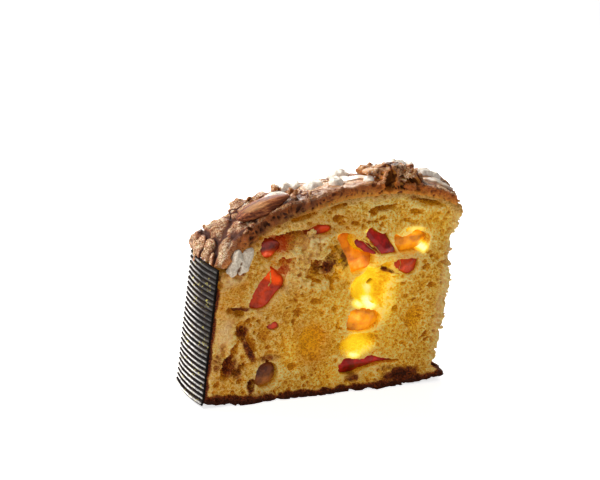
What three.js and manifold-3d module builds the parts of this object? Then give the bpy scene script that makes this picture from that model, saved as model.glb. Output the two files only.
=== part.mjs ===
// A slice of colomba, the Easter cake: a slab of open yellow crumb with candied fruit in its cut face,
// a cracked almond glaze with sugar and an almond over the dome, and a ribbed paper case on its outer end.
// Millimetres. +X runs from the paper case to the torn end, the fruited cut face looks along -Y and +Z
// is up. Places on the cut face are given as [x, z], from the middle of the face and the case's foot.

import * as THREE from "three";
import { mergeVertices } from "three/addons/utils/BufferGeometryUtils.js";
import Module from "manifold-3d";

const wasm = await Module();
wasm.setup();

// ---------------------------------------------------------------- driving dimensions

const LENGTH = 127; // of the cut face at half height
const OUTER_DEPTH = 29; // thickness of the slice at the paper case
const INNER_DEPTH = 24.5; // thickness at the torn end
const CUT_Y = -15; // plane of the cut face
const LEFT = -65.6; // the outer wall's front edge at the foot
const FOOT = -1.2; // the level the slice rests on

const WALL_FLARE = 1.3; // how far the outer wall leans outwards on its way up
const WALL_BULGE = 1.9; // how far the rounded outer end swells between its two cut edges
const WALL_TURN = 3.9; // how far the back edge of the outer end lies inside the front edge
const TEAR_SKEW = 8; // how much further the back cut runs before the tear than the front cut

const CASE_HEIGHT = 65;
const CASE_FOOT = 0.9;
const RIB_PITCH = 2.5;
const RIB_COUNT = CASE_HEIGHT / RIB_PITCH;
const RIB_HEIGHT = 1.0; // how far a rib stands out of the liner
const LINER = 0.5; // thickness of the paper under the ribs
const HEM_FLARE = 1.0; // how far the case's bottom hem turns outwards

const GAP = 0.3; // clearance between neighbouring pieces

// Outline of the front cut: the crumb's domed top, its gently bellied base and its torn right end.
const CRUMB_TOP = [
  [-67, 60],
  [-62, 65.5],
  [-57, 71],
  [-50, 77.5],
  [-43, 83],
  [-36, 86.5],
  [-28, 89],
  [-18, 92],
  [-8, 94.5],
  [2, 96],
  [12, 97],
  [24, 97.5],
  [36, 96.5],
  [48, 94.5],
  [58, 91.5],
  [66, 88],
];
const BASE = [
  [-70, 1.2],
  [-58, 0.2],
  [-48, -0.6],
  [-38, FOOT],
  [36, FOOT],
  [46, -0.8],
  [58, 0.2],
  [76, 2.4],
];
const TORN_END = [
  [-1, 65.5],
  [1.4, 70.4],
  [3.6, 70.4],
  [7, 64],
  [12, 64],
  [26, 65.2],
  [54, 65.2],
  [62, 63.6],
  [70, 61.8],
  [74.5, 62.2],
  [78, 65],
  [90, 65.4],
  [97, 62.6],
];
// How much higher the dome stands at the back cut than at the front one.
const BACK_RISE = [
  [-66, -4.5],
  [-50, -2.6],
  [-10, -3],
  [20, -2.6],
  [36, 0.6],
  [62, 4],
];
const GLAZE_THICKNESS = [
  [-67, 8],
  [-62, 12.5],
  [-56, 12.5],
  [-50, 10.5],
  [-43, 8.6],
  [-34, 7.2],
  [-18, 6.2],
  [0, 5.6],
  [20, 5.8],
  [36, 5],
  [60, 4.4],
];

// ---------------------------------------------------------------- fruit, air holes and toppings

// Candied fruit in the cut face: its outline, its depth into the crumb, how far its front lies behind
// the cut, and how much wider than the fruit the hole round it is.
const FRUIT = [
  {
    name: "cherry_peel",
    outline: [[11.4, 78.4], [15, 81.2], [20.5, 78], [25.6, 75.2], [30.6, 68], [20.6, 68.2], [16.4, 73]],
    deep: 5,
    inset: -0.8,
    hole: 0.8,
    colour: 0x8e1018,
  },
  {
    name: "cherry_sliver",
    outline: [[5.6, 76], [10.4, 75.4], [17.6, 68.6], [12.4, 69.4]],
    deep: 1.8,
    inset: 0.2,
    hole: 0.6,
    colour: 0x9a1a14,
  },
  {
    name: "orange_jelly_right",
    outline: [[31, 76.4], [41, 77.6], [46.6, 74.6], [42.4, 69.8], [33, 69.6]],
    deep: 6,
    inset: 2.2,
    hole: 1.4,
    colour: 0xe08a10,
  },
  {
    name: "orange_jelly_left",
    outline: [[-3, 77.4], [3, 78.4], [6.4, 73.4], [13, 66.4], [11.4, 60.6], [5.4, 61.4], [1.4, 69]],
    deep: 6,
    inset: 2.6,
    hole: 1.2,
    colour: 0xdc7a12,
  },
  {
    name: "orange_dice_right",
    outline: [[30.4, 63.8], [37, 65.2], [42.4, 64.4], [43.6, 59.4], [39.4, 57.6], [32.4, 60.2]],
    deep: 5,
    inset: 0.8,
    hole: 0.7,
    colour: 0xd2561c,
  },
  {
    name: "orange_dice_left",
    outline: [[-39.4, 64.6], [-31.2, 58.2], [-38.4, 50.6], [-44, 45.8], [-49, 47.6], [-47.4, 54.6]],
    deep: 6,
    inset: 1,
    hole: 1,
    colour: 0xd8321a,
  },
  {
    name: "orange_dice_high",
    outline: [[-46.4, 75.6], [-39, 77.8], [-35.8, 74.4], [-40.6, 69.8], [-45, 71.4]],
    deep: 5,
    inset: 2.4,
    hole: 1.4,
    colour: 0xa82a1c,
  },
  {
    name: "orange_chip",
    outline: [[-20, 80.8], [-13, 84], [-9.6, 82.6], [-12.6, 80.4]],
    deep: 4,
    inset: 1.4,
    hole: 0.8,
    colour: 0xb4381a,
  },
  {
    name: "amber_dice",
    outline: [[8.6, 38], [18, 40.2], [26.4, 37.4], [25.8, 31.4], [17, 28.6], [9, 31.6]],
    deep: 6,
    inset: 0.6,
    hole: 0.7,
    colour: 0xe8a010,
  },
  {
    name: "soaked_raisin",
    outline: [[-40, 14.6], [-37.4, 20], [-31.6, 20.4], [-27.9, 14.4], [-29.4, 7.6], [-36.4, 6.8]],
    deep: 9,
    inset: 1.6,
    hole: 1.6,
    colour: 0x6e3412,
  },
  {
    name: "cherry_strip",
    outline: [[7.2, 13.4], [13, 16.2], [26, 15.8], [41.6, 12.6], [26, 10.2], [16, 8], [8, 9]],
    deep: 5,
    inset: 1.4,
    hole: 1,
    colour: 0x8c1a14,
  },
  {
    name: "orange_bit",
    outline: [[-36.4, 36.6], [-33.4, 38.4], [-30.4, 36], [-34, 34.8]],
    deep: 3,
    inset: 0.8,
    hole: 0.7,
    colour: 0xc04a1c,
  },
];

// Large air holes in the cut face: place, width and height, tilt, depth.
const FRONT_HOLES = [
  { at: [20, 51], size: [22, 19], tilt: 25, deep: 9 },
  { at: [17, 24], size: [22, 8], tilt: 8, deep: 6 },
  { at: [49, 33], size: [10, 13], tilt: 10, deep: 5 },
  { at: [-25, 88.6], size: [13, 3.4], tilt: 14, deep: 6 },
  { at: [-6, 92.4], size: [9, 2.4], tilt: 8, deep: 5 },
  { at: [19, 90.6], size: [16, 2.8], tilt: 6, deep: 5 },
  { at: [46, 92], size: [20, 2.6], tilt: -12, deep: 6 },
  { at: [-31, 78.4], size: [18, 3.4], tilt: 14, deep: 6 },
  { at: [-10, 66], size: [18, 12], tilt: 30, deep: 5 },
  { at: [-33, 67.4], size: [7, 4], tilt: 40, deep: 4 },
  { at: [-17, 58], size: [8, 5], tilt: -10, deep: 3.4 },
  { at: [-5.5, 86.5], size: [7, 3.6], tilt: 0, deep: 3.4 },
  { at: [-52.6, 44], size: [7, 3.8], tilt: -8, deep: 5 },
  { at: [-50, 35], size: [7, 11], tilt: 18, deep: 4.5 },
  { at: [-56, 19], size: [5, 12], tilt: -22, deep: 4.5 },
  { at: [-10, 27], size: [15, 14], tilt: -30, deep: 3.6 },
  { at: [39, 88], size: [8, 3], tilt: -14, deep: 3 },
  { at: [27.5, 61], size: [6, 4], tilt: -12, deep: 4 },
];
const FINE_HOLE_COUNT = 16; // smaller holes strewn over the front cut
const FINE_HOLE_WIDTH = [3, 6];
const BACK_HOLE_COUNT = 8;
const BACK_HOLE_WIDTH = [7, 16];

// The whole almond: [x, y] on the dome, length, width and height, how steeply it leans, and how proud.
const ALMOND = { at: [-44.8, -9.4], size: [28, 10.4, 7], lean: 21, proud: 1.4 };

// Lumps and nibs of sugar: [x, y] on the dome, length, width and height, and how far each stands proud.
const SUGAR = [
  { name: "sugar_nib_slope", at: [-34.6, -2.4], size: [11, 5, 4], proud: 0.8 },
  { name: "sugar_nib_left", at: [-20.6, 8], size: [12, 6, 3.4], proud: 0.6 },
  { name: "sugar_nib_edge", at: [-11.4, 1.4], size: [9, 6, 4], proud: 0.9 },
  { name: "sugar_nib_middle", at: [-2, -3.6], size: [6.4, 6, 5], proud: 0.8 },
  { name: "sugar_nib_small", at: [12, -9.6], size: [4, 4, 3.4], proud: 0.5 },
  { name: "sugar_lump_middle", at: [7.4, 8.4], size: [9, 5.4, 5.4], proud: 0.6 },
  { name: "sugar_lump_crest", at: [40.4, 6.6], size: [7.6, 6, 7], proud: 2.2 },
  { name: "sugar_lump_crest_right", at: [46.4, 5.4], size: [5, 5, 5.4], proud: 1.8 },
  { name: "sugar_nib_right", at: [53.8, 2.6], size: [6.6, 5, 4.4], proud: 0.8 },
  { name: "sugar_nib_end", at: [60, 1.4], size: [5, 5, 4.4], proud: 0.8 },
];
// The big two-lobed lump of sugar on the front edge: the middle and size of each lobe.
const SUGAR_PAIR = [
  { at: [-59.4, -15.2, 69.2], size: [6.2, 4.6, 12], lean: 8 },
  { at: [-54, -15.2, 70], size: [6.6, 4.8, 11.4], lean: 4 },
];
const ICING = [
  { name: "icing_patch_middle", at: [12, -0.6], size: [28, 8], turn: -12, seed: 5 },
  { name: "icing_patch_right", at: [56.4, -5.6], size: [17, 5], turn: -8, seed: 8 },
];
const ICING_THICKNESS = 1.2;

// Lobes of glaze that have run down the steep outer side, the lowest over the rim of the case:
// middle, radii (out of the slope, across, along) and lean of the long axis.
const GLAZE_LOBES = [
  { at: [-63.2, 11.2, 66.4], radii: [3.2, 4, 5.6], lean: 14 },
  { at: [-65.4, 4.8, 66.8], radii: [3.2, 3.8, 6.4], lean: 14 },
  { at: [-66.3, -1.6, 65.4], radii: [2.9, 3.4, 4.4], lean: 6 },
  { at: [-64.6, -3.6, 71.4], radii: [3.6, 3.4, 6.4], lean: 24 },
  { at: [-66.8, -8.4, 64.8], radii: [2.2, 2.6, 4.2], lean: 6 },
  { at: [-64, -10.6, 71.6], radii: [3.9, 4.4, 8.2], lean: 18 },
  { at: [-61, 9, 73.4], radii: [3.6, 4.6, 5.4], lean: 38 },
  { at: [-60.4, 1.6, 77.2], radii: [3.8, 4.4, 5.4], lean: 40 },
  { at: [-60, -5.6, 79.6], radii: [3.8, 4, 5], lean: 42 },
  { at: [-57.4, -11.6, 80.8], radii: [4.2, 3.2, 4.6], lean: 44 },
  { at: [-53.6, 6.6, 81.8], radii: [3.2, 4.4, 5.2], lean: 54 },
  { at: [-49.4, -1.4, 86.6], radii: [3.2, 4.4, 4.8], lean: 60 },
  { at: [-44, 7.2, 86.8], radii: [3.2, 4.8, 5.2], lean: 64 },
  { at: [-36.6, 5.6, 90], radii: [3, 4.8, 5.6], lean: 70 },
];
// The crust has broken open on the crest: a hollow in the cut edge under raised flakes.
const CREST_HOLLOW = { at: [26.4, -15.4, 102.6], radii: [10.6, 8, 4] };
const CREST_FLAKES = [
  { at: [20, 1.4, 102.6], size: [13, 8, 2.2], pitch: -6, roll: 8 },
  { at: [28, 2, 103.8], size: [10, 8, 1.8], pitch: -22, roll: 12 },
  { at: [33.4, 1, 104], size: [9, 8, 1.7], pitch: -34, roll: 6 },
  { at: [35.6, -8, 102.4], size: [7, 8, 1.6], pitch: 26, roll: 10 },
  { at: [20.4, -9.6, 103.6], size: [7, 6, 1.5], pitch: 14, roll: 16 },
];

// ---------------------------------------------------------------- tools

const lerp = THREE.MathUtils.lerp;
const degrees = THREE.MathUtils.degToRad;

// Pseudo-random numbers from 0 to 1 that repeat for one seed.
function randomFrom(seed) {
  let state = seed >>> 0;
  return () => {
    state = (state + 0x6d2b79f5) >>> 0;
    let t = Math.imul(state ^ (state >>> 15), 1 | state);
    t = (t + Math.imul(t ^ (t >>> 7), 61 | t)) ^ t;
    return ((t ^ (t >>> 14)) >>> 0) / 4294967296;
  };
}

// A fixed value from -1 to 1 at each corner of a unit lattice.
function cornerValue(i, j, k) {
  let h = Math.imul(i, 374761393) + Math.imul(j, 668265263) + Math.imul(k, 1442695041);
  h = Math.imul(h ^ (h >>> 13), 1274126177);
  return (((h ^ (h >>> 16)) >>> 0) / 4294967295) * 2 - 1;
}

// Smooth noise from -1 to 1, made by blending the corner values of the lattice cell.
function noise(x, y, z) {
  const [i, j, k] = [Math.floor(x), Math.floor(y), Math.floor(z)];
  const ease = (t) => t * t * (3 - 2 * t);
  const [a, b, c] = [ease(x - i), ease(y - j), ease(z - k)];
  const row = (dj, dk) => lerp(cornerValue(i, j + dj, k + dk), cornerValue(i + 1, j + dj, k + dk), a);
  const sheet = (dk) => lerp(row(0, dk), row(1, dk), b);
  return lerp(sheet(0), sheet(1), c);
}

// A smooth function through [input, output] points, level beyond its ends.
function curveThrough(points) {
  const last = points.length - 1;
  const slope = points.map((_, n) => {
    const before = points[Math.max(n - 1, 0)];
    const after = points[Math.min(n + 1, last)];
    return (after[1] - before[1]) / (after[0] - before[0]);
  });
  return (input) => {
    const t = THREE.MathUtils.clamp(input, points[0][0], points[last][0]);
    const n = Math.min(points.findLastIndex((p) => p[0] <= t), last - 1);
    const [from, to] = [points[n], points[n + 1]];
    const span = to[0] - from[0];
    const s = (t - from[0]) / span;
    return (
      (1 + 2 * s) * (1 - s) ** 2 * from[1] +
      s * (1 - s) ** 2 * span * slope[n] +
      s * s * (3 - 2 * s) * to[1] +
      s * s * (s - 1) * span * slope[n + 1]
    );
  };
}

// A geometry as a solid that can be joined and cut.
function solidOf(geometry) {
  const bare = geometry.clone();
  bare.deleteAttribute("normal");
  bare.deleteAttribute("uv");
  const merged = mergeVertices(bare, 1e-4);
  return new wasm.Manifold(
    new wasm.Mesh({
      numProp: 3,
      vertProperties: merged.attributes.position.array,
      triVerts: new Uint32Array(merged.index.array),
    }),
  );
}

// The largest body of a solid as a geometry: a scrap that a cut has freed is dropped.
function geometryOf(solid) {
  const whole = solid.decompose().reduce((a, b) => (b.volume() > a.volume() ? b : a));
  const mesh = whole.getMesh();
  const positions = new Float32Array(mesh.numVert * 3);
  for (let n = 0; n < mesh.numVert; n++)
    positions.set(mesh.vertProperties.subarray(n * mesh.numProp, n * mesh.numProp + 3), n * 3);
  const geometry = new THREE.BufferGeometry();
  geometry.setAttribute("position", new THREE.BufferAttribute(positions, 3));
  geometry.setIndex(new THREE.BufferAttribute(new Uint32Array(mesh.triVerts), 1));
  geometry.computeVertexNormals();
  return geometry;
}

// Moves each vertex of a geometry to where place(x, y, z) says.
function reshape(geometry, place) {
  const p = geometry.getAttribute("position");
  for (let n = 0; n < p.count; n++) p.setXYZ(n, ...place(p.getX(n), p.getY(n), p.getZ(n)));
  return geometry;
}

// A closed block whose faces are set by place(u, w, v), each from 0 to 1 along X, Y and Z.
function shapedBlock(alongX, alongY, alongZ, place) {
  const block = new THREE.BoxGeometry(1, 1, 1, alongX, alongY, alongZ);
  return solidOf(reshape(block, (x, y, z) => place(x + 0.5, y + 0.5, z + 0.5)));
}

// A rounded, slightly uneven cube of half width 1, as sugar and lumps of glaze are.
function chunk(segments, power, unevenness, seed) {
  const cube = new THREE.BoxGeometry(2, 2, 2, segments, segments, segments);
  return reshape(cube, (x, y, z) => {
    const size = (Math.abs(x) ** power + Math.abs(y) ** power + Math.abs(z) ** power) ** (1 / power);
    const swell = (1 + unevenness * noise(x * 1.3 + seed * 7.1, y * 1.3, z * 1.3)) / size;
    return [x * swell, y * swell, z * swell];
  });
}

// A geometry of half width 1 brought to its size, turned and put in its place.
function settle(geometry, size, turns, at) {
  const turn = new THREE.Matrix4().makeRotationFromEuler(new THREE.Euler(...turns));
  return solidOf(
    geometry
      .clone()
      .scale(...size.map((s) => s / 2))
      .applyMatrix4(turn)
      .translate(...at),
  );
}

// ---------------------------------------------------------------- the slice's surfaces

const crumbTop = curveThrough(CRUMB_TOP);
const baseCurve = curveThrough(BASE);
const base = (x) => Math.max(FOOT, baseCurve(x));
const tornEnd = curveThrough(TORN_END);
const backRise = curveThrough(BACK_RISE);
const glazeThickness = curveThrough(GLAZE_THICKNESS);

const depthAt = (x) => lerp(OUTER_DEPTH, INNER_DEPTH, (x - LEFT) / LENGTH);
const shareAt = (x, y) => THREE.MathUtils.clamp((y - CUT_Y) / depthAt(x), 0, 1);

// X of the rounded outer end, a share w of the way from the front cut to the back cut.
function outerWall(w, z) {
  const flare = WALL_FLARE * Math.sqrt(THREE.MathUtils.clamp(z / CASE_HEIGHT, 0, 1));
  return LEFT - flare - 4 * WALL_BULGE * w * (1 - w) + WALL_TURN * w;
}

const tearAt = (w, z) => tornEnd(z) + TEAR_SKEW * w;

// Height of the crumb's dome at x, a share w of the way back: the dome follows the outer wall's turn.
function domeAt(x, w) {
  const [from, to] = [outerWall(w, CASE_HEIGHT), tearAt(w, 95)];
  const along = (x - from) / (to - from);
  const frontX = lerp(outerWall(0, CASE_HEIGHT), tearAt(0, 95), along);
  return crumbTop(frontX) + backRise(frontX) * w;
}

// Relief of a cut face: long swells with shorter ones on them, and a raised torn chunk left of the middle.
function cutRelief(x, z, side) {
  const swells = 0.8 * noise(x / 14 + side * 40, 3.3, z / 14) + 0.4 * noise(x / 6, 8.1 + side * 9, z / 6);
  const raised = side < 0 ? 1.6 * Math.exp(-(((x + 19) / 13) ** 2) - ((z - 66) / 13) ** 2) : 0;
  return side * (swells + raised);
}

const front = (x, z) => CUT_Y + cutRelief(x, z, -1);
const back = (x, z) => CUT_Y + depthAt(x) + cutRelief(x, z, 1);

function glazeTop(x, w) {
  const y = CUT_Y + depthAt(x) * w;
  const wrinkles = 0.6 * noise(x / 7, y / 6, 0.5) + 0.5 * noise(x / 3.4, y / 3.4, 7.5);
  return domeAt(x, w) + GAP + glazeThickness(x) + wrinkles;
}

// The dome's slope at x as a turn about Y.
const slopeAt = (x, w) => -Math.atan2(domeAt(x + 3, w) - domeAt(x - 3, w), 6);

// ---------------------------------------------------------------- crumb

// The bare slab of crumb, without its holes.
function crumbSlab() {
  return shapedBlock(24, 3, 18, (u, w, v) => {
    const rise = v ** 1.25; // levels lie closer together near the base
    const level = lerp(FOOT, 96, rise);
    const ragged = 0.8 * noise(level / 5, w * 3, 2.2) * Math.min(1, v * 6);
    const x = lerp(outerWall(w, level), tearAt(w, level) + ragged, u);
    const z = lerp(base(x), domeAt(x, w), rise);
    return [x, lerp(front(x, z), back(x, z), w), z];
  });
}

// An air hole as an ellipsoid whose middle lies on a cut face.
function airHole({ at, size, tilt, deep }, surface, around = 7, down = 4) {
  const [x, z] = at;
  const ball = new THREE.SphereGeometry(1, around, down);
  return settle(ball, [size[0], deep * 2, size[1]], [0, -degrees(tilt), 0], [x, surface(x, z), z]);
}

// Holes strewn by rule over a cut face: one in each of as many upright strips.
function strewnHoles(count, widths, seed) {
  const random = randomFrom(seed);
  return Array.from({ length: count }, (_, n) => {
    const x = lerp(-57, 57, (n + random() * 0.8) / count);
    const z = lerp(8, crumbTop(x) - 6, random());
    const width = lerp(...widths, random() ** 2);
    const size = [width, width * lerp(0.6, 1.1, random())];
    return { at: [x, z], size, tilt: lerp(-40, 40, random()), deep: width * 0.5 };
  });
}

// ---------------------------------------------------------------- fruit

// A slab with a smoothly curved outline on the cut face, drawn in by a share at its front and its back.
function outlineSolid(outline, nearY, farY, growth, drawnIn = 0) {
  const middle = outline.reduce((sum, p) => sum.add(new THREE.Vector2(...p)), new THREE.Vector2());
  middle.divideScalar(outline.length);
  const corners = outline.map((p) => new THREE.Vector3(p[0], 0, p[1]));
  const rim = new THREE.CatmullRomCurve3(corners, true, "centripetal").getPoints(outline.length * 2);
  rim.pop();
  const count = rim.length;
  const rings = [
    [0, 1 - drawnIn],
    [0.2, 1],
    [1, 1 - drawnIn],
  ];
  const positions = [];
  for (const [deep, share] of rings)
    for (const p of rim) {
      const out = new THREE.Vector2(p.x - middle.x, p.z - middle.y);
      out.multiplyScalar(share + growth / out.length());
      positions.push(middle.x + out.x, lerp(nearY - growth, farY + growth, deep), middle.y + out.y);
    }
  positions.push(middle.x, nearY - growth, middle.y);
  positions.push(middle.x, farY + growth, middle.y);
  const faces = [];
  const [nearMiddle, farMiddle] = [rings.length * count, rings.length * count + 1];
  for (let n = 0; n < count; n++) {
    const m = (n + 1) % count;
    faces.push(nearMiddle, m, n);
    for (let r = 0; r < rings.length - 1; r++) {
      const [a, b] = [r * count, (r + 1) * count];
      faces.push(a + n, a + m, b + n, a + m, b + m, b + n);
    }
    const far = (rings.length - 1) * count;
    faces.push(farMiddle, far + n, far + m);
  }
  const solid = new THREE.BufferGeometry();
  solid.setAttribute("position", new THREE.BufferAttribute(new Float32Array(positions), 3));
  solid.setIndex(faces);
  return solidOf(solid);
}

function frontAt(outline) {
  return Math.max(...outline.map(([x, z]) => front(x, z)));
}

function fruitSolid({ outline, deep, inset }) {
  const near = frontAt(outline) + inset;
  return outlineSolid(outline, near, near + deep, 0, 0.18);
}

// The hole that a piece of fruit sits in, open to the cut face.
function fruitHole(fruit) {
  const near = frontAt(fruit.outline);
  return outlineSolid(fruit.outline, near - 4, near + fruit.inset + fruit.deep + GAP, fruit.hole);
}

// ---------------------------------------------------------------- glaze and toppings

function glazeSlab() {
  return shapedBlock(36, 6, 2, (u, w, v) => {
    const end = tearAt(w, 96) - 0.6 + 0.8 * noise(w * 4, 1, 1);
    const x = lerp(outerWall(w, CASE_HEIGHT), end, u);
    const under = domeAt(x, w);
    const y = lerp(front(x, under - 4) - 0.5, back(x, under - 4) + 0.5, w);
    return [x, y, lerp(under + GAP, glazeTop(x, w), v)];
  });
}

// What the lobes and flakes of glaze stay out of: the dome and, with clearance, the case.
function glazeBed() {
  const dome = shapedBlock(24, 3, 1, (u, w, v) => {
    const x = lerp(outerWall(w, CASE_HEIGHT) - 0.2, 76, u);
    return [x, lerp(-26, 26, w), lerp(40, domeAt(x, w) + 3 * GAP, v)];
  });
  const caseRoom = shapedBlock(2, 8, 1, (u, w, v) => {
    const around = lerp(-0.06, 1.06, w);
    const x = outerWall(around, CASE_HEIGHT) + lerp(-2 * GAP - LINER - RIB_HEIGHT, 4, u);
    return [x, CUT_Y + OUTER_DEPTH * around, lerp(40, CASE_FOOT + CASE_HEIGHT + GAP, v)];
  });
  return dome.add(caseRoom);
}

function glazeLobe({ at, radii, lean }, seed) {
  const size = radii.map((r) => r * 2);
  return settle(chunk(2, 2.3, 0.12, seed), size, [0, degrees(lean), 0], at);
}

function crestFlake({ at, size, pitch, roll }, seed) {
  return settle(chunk(2, 5, 0.1, seed), size, [degrees(roll), degrees(pitch), 0], at);
}

function almondSolid(growth = 0) {
  const [x, y] = ALMOND.at;
  const ball = reshape(new THREE.SphereGeometry(1, 12, 8).rotateZ(Math.PI / 2), (a, b, c) => {
    const taper = 1 - 0.4 * Math.max(a, 0) ** 1.5; // blunt at one end, pointed at the other
    return [a, b * taper, c * taper];
  });
  const w = shareAt(x, y);
  const size = ALMOND.size.map((s) => s + growth);
  return settle(ball, size, [0, -degrees(ALMOND.lean), 0], [x, y, glazeTop(x, w) + ALMOND.proud]);
}

function sugarSolid({ at, size, proud }, seed, growth = 0) {
  const [x, y] = at;
  const w = shareAt(x, y);
  const grown = size.map((s) => s + growth);
  return settle(chunk(2, 3, 0.16, seed), grown, [0, slopeAt(x, w), 0], [x, y, glazeTop(x, w) + proud]);
}

function sugarPair(growth = 0) {
  const lobes = SUGAR_PAIR.map(({ at, size, lean }, n) => {
    const grown = size.map((s) => s + growth);
    return settle(chunk(3, 3.4, 0.14, n + 20), grown, [0, degrees(lean), 0], at);
  });
  return lobes[0].add(lobes[1]);
}

// A thin uneven pool of white icing, let into the glaze.
function icingSolid({ at, size, turn, seed }, growth = 0) {
  const disc = new THREE.CylinderGeometry(1, 1, 1, 20, 1).rotateX(Math.PI / 2);
  const centre = new THREE.Vector2(...at);
  return solidOf(
    reshape(disc, (a, b, c) => {
      const ragged = 1 + 0.2 * noise(a * 2.2 + seed, b * 2.2, seed);
      const place = new THREE.Vector2(
        a * (ragged * (size[0] / 2) + growth),
        b * (ragged * (size[1] / 2) + growth),
      );
      place.rotateAround(new THREE.Vector2(), degrees(turn)).add(centre);
      const level = glazeTop(place.x, shareAt(place.x, place.y));
      const rise = c > 0 ? ICING_THICKNESS * 0.4 : -ICING_THICKNESS;
      return [place.x, place.y, level + rise + Math.sign(c) * growth];
    }),
  );
}

// ---------------------------------------------------------------- paper case

// A strip of ribbed paper: flat inside, level ribs outside, bent round the outer end.
function paperCase() {
  const profile = new THREE.Shape();
  const face = GAP + LINER;
  const steps = 3; // edges to a rib
  profile.moveTo(GAP, 0);
  profile.lineTo(face, 0);
  for (let n = 1; n < RIB_COUNT * steps; n++) {
    const stand = n % steps ? RIB_HEIGHT : 0;
    profile.lineTo(face + stand, (n / steps) * RIB_PITCH);
  }
  profile.lineTo(face, CASE_HEIGHT);
  profile.lineTo(GAP, CASE_HEIGHT);
  const strip = new THREE.ExtrudeGeometry(profile, { depth: 1, steps: 6, bevelEnabled: false });
  return solidOf(
    reshape(strip, (out, up, w) => {
      const z = CASE_FOOT + up;
      const heading = (WALL_TURN - 4 * WALL_BULGE * (1 - 2 * w)) / OUTER_DEPTH;
      const length = Math.hypot(1, heading);
      const offset = out + HEM_FLARE * Math.max(0, 1 - up / 4) ** 2;
      const y = CUT_Y + OUTER_DEPTH * w + (offset * heading) / length;
      return [outerWall(w, z) - offset / length, y, z];
    }),
  );
}

// ---------------------------------------------------------------- assembly

const slice = new THREE.Group();

function addPiece(name, solid, colour, roughness) {
  const material = new THREE.MeshStandardMaterial({ color: colour, roughness, metalness: 0 });
  const mesh = new THREE.Mesh(geometryOf(solid), material);
  mesh.name = name;
  slice.add(mesh);
}

function buildCrumb() {
  let crumb = crumbSlab();
  for (const hole of FRONT_HOLES) crumb = crumb.subtract(airHole(hole, front));
  for (const hole of strewnHoles(FINE_HOLE_COUNT, FINE_HOLE_WIDTH, 7))
    crumb = crumb.subtract(airHole(hole, front, 5, 4));
  for (const hole of strewnHoles(BACK_HOLE_COUNT, BACK_HOLE_WIDTH, 41))
    crumb = crumb.subtract(airHole(hole, back));
  for (const fruit of FRUIT) crumb = crumb.subtract(fruitHole(fruit));
  return crumb.subtract(sugarPair(2 * GAP));
}

function buildGlaze() {
  const hollow = new THREE.SphereGeometry(1, 10, 6);
  const hollowSize = CREST_HOLLOW.radii.map((r) => r * 2);
  let glaze = glazeSlab().subtract(settle(hollow, hollowSize, [0, 0, 0], CREST_HOLLOW.at));
  const raised = [...GLAZE_LOBES.map(glazeLobe), ...CREST_FLAKES.map(crestFlake)];
  glaze = glaze.add(raised.reduce((a, b) => a.add(b)).subtract(glazeBed()));
  glaze = glaze.subtract(almondSolid(2 * GAP)).subtract(sugarPair(2 * GAP));
  SUGAR.forEach((lump, n) => {
    glaze = glaze.subtract(sugarSolid(lump, n, 2 * GAP));
  });
  for (const pool of ICING) glaze = glaze.subtract(icingSolid(pool, GAP));
  return glaze;
}

addPiece("crumb", buildCrumb(), 0xd9a93a, 0.9);
addPiece("almond_glaze", buildGlaze(), 0xa8683a, 0.8);
addPiece("paper_case", paperCase(), 0x33221a, 0.45);
addPiece("almond", almondSolid(), 0x7a4526, 0.6);
FRUIT.forEach((fruit) => addPiece(fruit.name, fruitSolid(fruit), fruit.colour, 0.25));
addPiece("sugar_pair_front", sugarPair(), 0xf2efe6, 0.7);
SUGAR.forEach((lump, n) => addPiece(lump.name, sugarSolid(lump, n), 0xf2efe6, 0.7));
ICING.forEach((pool) => addPiece(pool.name, icingSolid(pool), 0xf0eadc, 0.5));

// The origin is the middle of the slice's bounding box, on the level it rests on.
const box = new THREE.Box3().setFromObject(slice);
const middle = box.getCenter(new THREE.Vector3());
for (const mesh of slice.children) mesh.position.set(-middle.x, -middle.y, -box.min.z);

export default slice;
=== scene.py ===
"""A slice of colomba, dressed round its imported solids.

Lengths in the tables are millimetres in cake coordinates: X along the cut face from about its middle,
Y from CUT_Y at the front cut towards the back cut, Z up, with the lowest line of the base at FOOT. TO_ROW
moves them into the row frame, where every mesh is written in metres.
"""

import math
import random as chance

import bpy
import numpy as np
import openvdb
from mathutils import Euler, Matrix, Vector


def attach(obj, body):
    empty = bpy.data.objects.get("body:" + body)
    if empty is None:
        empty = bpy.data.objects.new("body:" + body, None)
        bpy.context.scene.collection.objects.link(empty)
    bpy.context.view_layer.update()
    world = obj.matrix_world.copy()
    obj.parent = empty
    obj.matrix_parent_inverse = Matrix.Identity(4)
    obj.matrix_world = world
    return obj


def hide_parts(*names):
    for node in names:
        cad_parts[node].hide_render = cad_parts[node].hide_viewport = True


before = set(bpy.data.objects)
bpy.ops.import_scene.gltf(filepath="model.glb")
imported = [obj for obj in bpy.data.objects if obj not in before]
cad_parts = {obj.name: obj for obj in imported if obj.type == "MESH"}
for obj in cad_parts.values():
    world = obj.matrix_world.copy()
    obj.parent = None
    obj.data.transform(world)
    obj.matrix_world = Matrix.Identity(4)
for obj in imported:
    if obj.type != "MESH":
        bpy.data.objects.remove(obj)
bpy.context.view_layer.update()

MM = 0.001
TO_ROW = np.array([-4.413624, 1.147418, 1.2])

# ---------------------------------------------------------------- camera

CAMERA_TARGET = (-15.082, 0.0, 71.995)
CAMERA_AZIMUTH = -36.047
CAMERA_HEIGHT = 16.939
CAMERA_ROLL = 8.144
CAMERA_DISTANCE = 900.0
CAMERA_LENS = 116.85


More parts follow.
